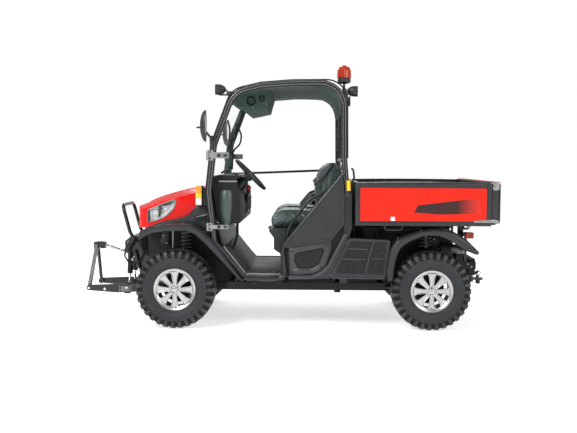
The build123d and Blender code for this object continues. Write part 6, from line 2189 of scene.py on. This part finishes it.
# ---- roof and mirrors
@dataclass
class RoofFittings:
    """Work lights, the flashing beacon and the door mirrors."""

    bell: tuple[Flat, ...] = (
        (0, 38), (34, 38), (37, 45), (42, 45), (43, 22), (39, -4), (27, -26), (13, -38), (0, -40))
    beacon_at: Flat = (472, -450)
    mirror_x: float = -589
    mirror_y: float = 840
    mirror_z: float = 1581

    def build(self) -> None:
        """Builds what stands on the roof and on the windscreen posts."""
        self._work_lights()
        self._beacon()
        self._mirrors()

    def _work_lights(self) -> None:
        """Bell-shaped lamps on short brackets with bright fronts, and the beacon's foot."""
        bodies, fronts = Form(), Form()
        for x, y, z, way in ((-503, -550, 1880, -1), (529, -560, 1868, 1)):
            bodies.turned(self.bell, (x, y, z), (way, 0, 0), steps=40, closed=False)
            fronts.turned(
                [(0, 42), (20, 42), (36, 40), (36, 37), (0, 37)], (x, y, z), (way, 0, 0), steps=40,
                closed=False)
            for side in (-1, 1):
                bodies.pipe([(x - way * 4, y + side * 44, z), (x - way * 12, y + side * 40, z - 38),
                             (x - way * 20, y + side * 4, z - 44)], 4, 10)
        bodies.block((-520, -562, 1832), (-440, -538, 1844), 4).block(
            (-460, -570, 1832), (-400, -530, 1866), 5)
        bodies.block((466, -575, 1840), (520, -545, 1868), 5)
        bodies.pipe([(-466, -550, 1878), (-446, -550, 1862), (-424, -556, 1850)], 5, 14)
        bodies.mirrored()
        x, y = self.beacon_at
        bodies.turned(
            [(9, 1856), (9, 1934), (34, 1938), (52, 1948), (52, 1972), (47, 1979), (0, 1979)], (x, y, 0),
            UP, steps=40, closed=False)
        bodies.block((x - 16, y - 16, 1880), (x + 22, y + 16, 1900), 5)
        bodies.piece("roof_lamp_bodies", "chassis", PANEL_BLACK, "roof_lights", smooth=30)
        fronts.mirrored().piece("roof_lamp_fronts", "chassis", REFLECTOR)

    def _beacon(self) -> None:
        """Upright red ribs round the amber dome."""
        x, y = self.beacon_at
        ribs = Form()
        low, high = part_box("beacon_lens")
        radius = (high[0] - low[0]) / MM / 2
        for number in range(12):
            turn = math.tau * number / 12
            across = Vector((math.cos(turn), math.sin(turn), 0)) * (radius - 0.5)
            ribs.bar(
                (x + across.x, y + across.y, 1980), (x + across.x * 0.97, y + across.y * 0.97, 2046),
                2.6, sides=8)
        ribs.piece("beacon_ribs", "chassis", KNOB_RED)

    def _mirrors(self) -> None:
        """Bowed mirror heads with flat glasses, on bent arms."""
        flat = self.mirror_x

        def bowed(at: Vector) -> Vector:
            """A point of the head, cut flat at the glass."""
            return Vector((min(at.x, flat), at.y, at.z))

        head = Form().ball((flat, -self.mirror_y, self.mirror_z), 121, 20, (0.37, 0.53, 1)).warped(bowed)
        head.bar((flat - 40, -self.mirror_y, 1569), (flat - 72, -self.mirror_y, 1569), 8, 6)
        head.pipe([(-552, -692, 1472), (-560, -740, 1490), (-612, -800, 1560), (-612, -820, 1600)], 9, 40)
        head.block((-576, -724, 1436), (-524, -696, 1512), 8)
        head.mirrored().piece(
            "mirror_heads", "chassis", PANEL_BLACK, "mirrors", slot="mirror_black", smooth=40)
        glass = Form().ball((flat + 0.6, -self.mirror_y, self.mirror_z), 112, 16, (0.012, 0.5, 0.98))
        glass.mirrored().piece("mirror_glasses", "chassis", MIRROR, smooth=60)


# ---- running gear
@dataclass
class RunningGear:
    """Inner panels, coil springs, rods, hoses and fasteners round the wheels and under the bed."""

    strut: Flat = (-805, -380)
    shock: Flat = (1155, -430)

    def build(self) -> None:
        """Builds the trim of the front and rear running gear."""
        self._inner_panels()
        self._springs()
        self._rear_trim()
        self._ball()

    def _inner_panels(self) -> None:
        """Dark inner panels inside the arches, with their plates and bolts."""
        front = [
            (-1138, 690), (-1122, 756), (-917, 796), (-708, 798), (-620, 760), (-520, 640), (-455, 520),
            (-385, 420), (-385, 362), (-655, 362), (-655, 482), (-1060, 482), (-1120, 560)]
        rear = [(560, 505), (560, 804), (1330, 804), (1372, 700), (1340, 560), (1250, 505)]
        panels = Form().plate(front, (-318, -312), 2).plate(rear, (-372, -366), 2)
        panels.mirrored().piece("inner_panels", "chassis", DEEP_BLACK, slot="frame_black")
        plates = Form().plate([(-1030, 640), (-1010, 752), (-958, 762), (-958, 612)], (-336, -330), 4)
        plates.plate([(1200, 706), (1268, 706), (1270, 590), (1200, 590)], (-392, -384), 4)
        plates.plate([(640, 700), (720, 712), (770, 780), (640, 790)], (-386, -378), 6)
        plates.mirrored().piece("inner_plates", "chassis", PANEL_BLACK)
        bolts = Form()
        for x, y, z in (
                (-1000, -336, 700), (-975, -336, 640), (1216, -392, 690), (1252, -392, 610),
                (1500, -352, 482), (1530, -352, 462), (1380, -352, 486), (660, -386, 770)):
            bolts.bar((x, y + 2, z), (x, y - 7, z), 8, sides=6, edge=1)
        bolts.mirrored().piece("inner_bolts", "chassis", STEEL)

    def _springs(self) -> None:
        """Coils over the struts and shock absorbers, and the silver rods beside them."""
        coils = Form().coil((*self.strut, 500), (*self.strut, 742), 42, 6, 8)
        coils.coil((*self.shock, 384), (*self.shock, 592), 40, 6, 7)
        coils.coil(
            (self.shock[0] - 12, self.shock[1], 630), (self.shock[0] - 12, self.shock[1], 724), 46, 6.5,
            3.5)
        coils.mirrored().piece("spring_coils", "chassis", MESH_GREY, slot="suspension_black", smooth=50)
        rods = Form().bar((-914, -388, 560), (-914, -388, 786), 8, sides=20)
        rods.bar(
            (self.shock[0] - 12, self.shock[1], 622), (self.shock[0] - 12, self.shock[1], 760), 13,
            sides=20)
        rods.mirrored().piece("bright_rods", "chassis", STEEL)

    def _rear_trim(self) -> None:
        """The muffler's shield, the hoses behind the cab and the tail lamps' red halves."""
        shield = Form().plate(
            [(1337, 598), (1336, 632), (1378, 636), (1462, 587), (1406, 578)], (-484, -478), 4)
        shield.studs(((1352, 620), (1376, 611), (1400, 602)), (-483, -488), 5, sides=16)
        shield.mirrored().piece("muffler_shield", "chassis", LINK_GREY, slot="zinc_steel")
        hoses = Form()
        for route in (
                ((552, 1033), (588, 933), (545, 832), (555, 720)),
                ((600, 812), (660, 780), (640, 740), (700, 716)), ((780, 806), (730, 770), (742, 724))):
            hoses.pipe(at_y(route, -590), 8, 60)
        hoses.pipe([(552, -590, 722), (552, -480, 700), (560, -372, 690)], 8, 40)
        hoses.pipe([(700, -590, 718), (706, -480, 700), (706, -372, 690)], 8, 40)
        hoses.piece("bay_hoses", "chassis", DEEP_BLACK)
        reds = Form().block((1426.5, -641.5, 717), (1448, -559, 765), 3).mirrored()
        reds.piece("tail_lamp_reds", "chassis", KNOB_RED)

    def _ball(self) -> None:
        """The polished ball and its nut."""
        ball = Form().ball((1658, 0, 364), 25.6, 20)
        ball.turned([(12, 322), (20, 322), (20, 337), (12, 337)], (1658, 0, 0), UP, steps=6)
        ball.turned([(12, 276), (19, 276), (19, 294), (12, 294)], (1658, 0, 0), UP, steps=6)
        ball.piece("tow_ball_polish", "chassis", CHROME, smooth=50)


# ---- front linkage
@dataclass
class Linkage:
    """Accumulators, extra cylinders, pins, threads and the pale leg of the front lifting linkage."""

    link_foot: Flat = (-1290, 483)
    link_tip: Flat = (-1581, 595)

    def build(self) -> None:
        """Builds the linkage's dress, each part on the body that carries it."""
        self._tower()
        self._arms()
        self._coupler()
        self._top_link()

    def _tower(self) -> None:
        """Accumulators, damping cylinders, hoses and pin heads on the tower."""
        tanks = Form().bar((-1338, -228, 552), (-1281, -228, 651), 25, sides=32, edge=5)
        tanks.bar((-1290, -228, 636), (-1274, -228, 663), 31, sides=32, edge=5)
        tanks.bar((-1266, -212, 567), (-1230, -212, 415), 19, sides=28, edge=3)
        tanks.mirrored().piece("linkage_tanks", "chassis", FRAME_BLACK)
        rings = Form().turned(
            [(14, 0), (22, 0), (22, 3), (14, 3)], (-1273, -228, 665), (0.5, 0, 0.87), steps=32)
        rings.bar((-1230, -212, 418), (-1219, -212, 372), 8, sides=18)
        rings.studs(((-1290, 483), (-1320, 630), (-1080, 250)), (-200, -208), 13, sides=24, edge=2)
        rings.mirrored().piece("linkage_bright_parts", "chassis", STEEL)
        hoses = Form()
        for y in (-236, 236):
            hoses.pipe(
                [(-1338, y, 556), (-1352, y, 520), (-1300, y, 440), (-1220, y, 470), (-1180, y, 560)], 7,
                40)
            hoses.pipe([(-1276, y, 640), (-1226, y, 640), (-1190, y, 560), (-1150, y, 520)], 6, 40)
        hoses.piece("linkage_hoses", "chassis", DEEP_BLACK)

    def _arms(self) -> None:
        """Pin heads, clips and a blank plate on the arms."""
        pins = Form().studs(((-1655, 245), (-1335, 250), (-1520, 236)), (-230, -238), 11, sides=24, edge=2)
        pins.mirrored().piece("arm_pins", "hitch_arms", CHROME)
        plate = Form().block((-1385, -233, 216), (-1309, -230, 262), 1)
        plate.piece("arm_blank_plate", "hitch_arms", LINK_GREY)
        bands = Form().block((-1400, -233, 206), (-1392, -207, 268), 1).block(
            (-1302, -233, 206), (-1294, -207, 268), 1)
        bands.mirrored().piece("arm_bands", "hitch_arms", LINK_GREY, slot="frame_black")

    def _coupler(self) -> None:
        """The pale near leg and the hook on the coupler's head."""
        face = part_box("hitch_coupler")[0][1] / MM
        leg = Form().plate(
            [(-1672, 268), (-1646, 262), (-1578, 560), (-1582, 606), (-1604, 610)], (face - 4, face + 2),
            2)
        leg.piece("coupler_pale_leg", "hitch_coupler", LINK_GREY)
        hook = Form().turned([(9, -20), (19, -20), (19, 20), (9, 20)], (-1574, 0, 598), ACROSS, steps=28)
        hook.bar((-1608, -34, 560), (-1608, 34, 560), 8, sides=18, edge=1)
        hook.piece("coupler_hook", "hitch_coupler", STEEL)

    def _top_link(self) -> None:
        """Twin bright rods, collars and threads along the top link."""
        foot, tip = (Vector((x, 0, z)) for x, z in (self.link_foot, self.link_tip))
        run = tip - foot
        rise = Vector((-run.z, 0, run.x)).normalized() * -11
        rods = Form()
        for way in (-1, 1):
            start, end = foot + run * 0.2 + rise * way, foot + run * 0.78 + rise * way
            rods.bar(tuple(start), tuple(end), 5.5, sides=16)
        for share in (0.2, 0.5, 0.78):
            middle = foot + run * share
            rods.bar(tuple(middle - run * 0.018), tuple(middle + run * 0.018), 19, sides=24, edge=2)
        for number in range(9):
            middle = foot + run * (0.82 + number * 0.012)
            rods.bar(tuple(middle), tuple(middle + run * 0.005), 15.5, sides=20)
        rods.piece("top_link_rods", "top_link", CHROME, slot="chrome_rod")


# ---- hip hoops
@dataclass
class HipBars:
    """Bent hoops beside the seats and the slim armrests folded up against the seat backs."""

    hoop: tuple[Flat, ...] = ((14, 620), (33, 778), (103, 897), (204, 1023), (330, 1074), (480, 1074))
    outer_y: float = 645
    inner_y: float = 82

    def build(self) -> None:
        """Builds the hoops, the far side's long bar and the armrests."""
        hoops = Form().pipe(at_y(self.hoop, -self.outer_y), 13, 90, turns=10)
        hoops.pipe(at_y(self.hoop[1:], -self.inner_y), 11, 90, turns=10)
        hoops.mirrored().bar((-590, 680, 1196), (460, 680, 1240), 11, sides=20)
        hoops.piece("hip_hoops", "chassis", FRAME_BLACK, "hip_bars", smooth=45)
        rests = Form().pipe([(372, -580, 1284), (304, -580, 1196), (246, -580, 1138)], 13, 40)
        rests.ball((372, -580, 1284), 22, squash=(1, 0.7, 1)).ball((246, -580, 1138), 13)
        rests.bar((372, -596, 1284), (372, -556, 1284), 9, sides=20)
        rests.pipe([(372, -104, 1276), (300, -104, 1186), (240, -104, 1140)], 12, 40)
        rests.mirrored().piece("armrests", "chassis", PANEL_BLACK, slot="black_plastic", smooth=45)


def main() -> None:
    """Builds the whole vehicle and its stage."""
    logging.basicConfig(level=logging.INFO)
    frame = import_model()
    Stage().build()
    dress_solids(frame["nodes"])
    for corner in Corner:
        Wheel(corner).build()
        LOG.info("wheel %s", corner.value[0])
    for part in (Hood(), Fenders(), SidePanels(), LoadBed(), Seats(), CabTrim(), Dash(),
                 RoofFittings(), RunningGear(), Linkage(), HipBars()):
        part.build()
        LOG.info("built %s", type(part).__name__)
    bpy.context.view_layer.update()


if __name__ == "__main__":
    main()
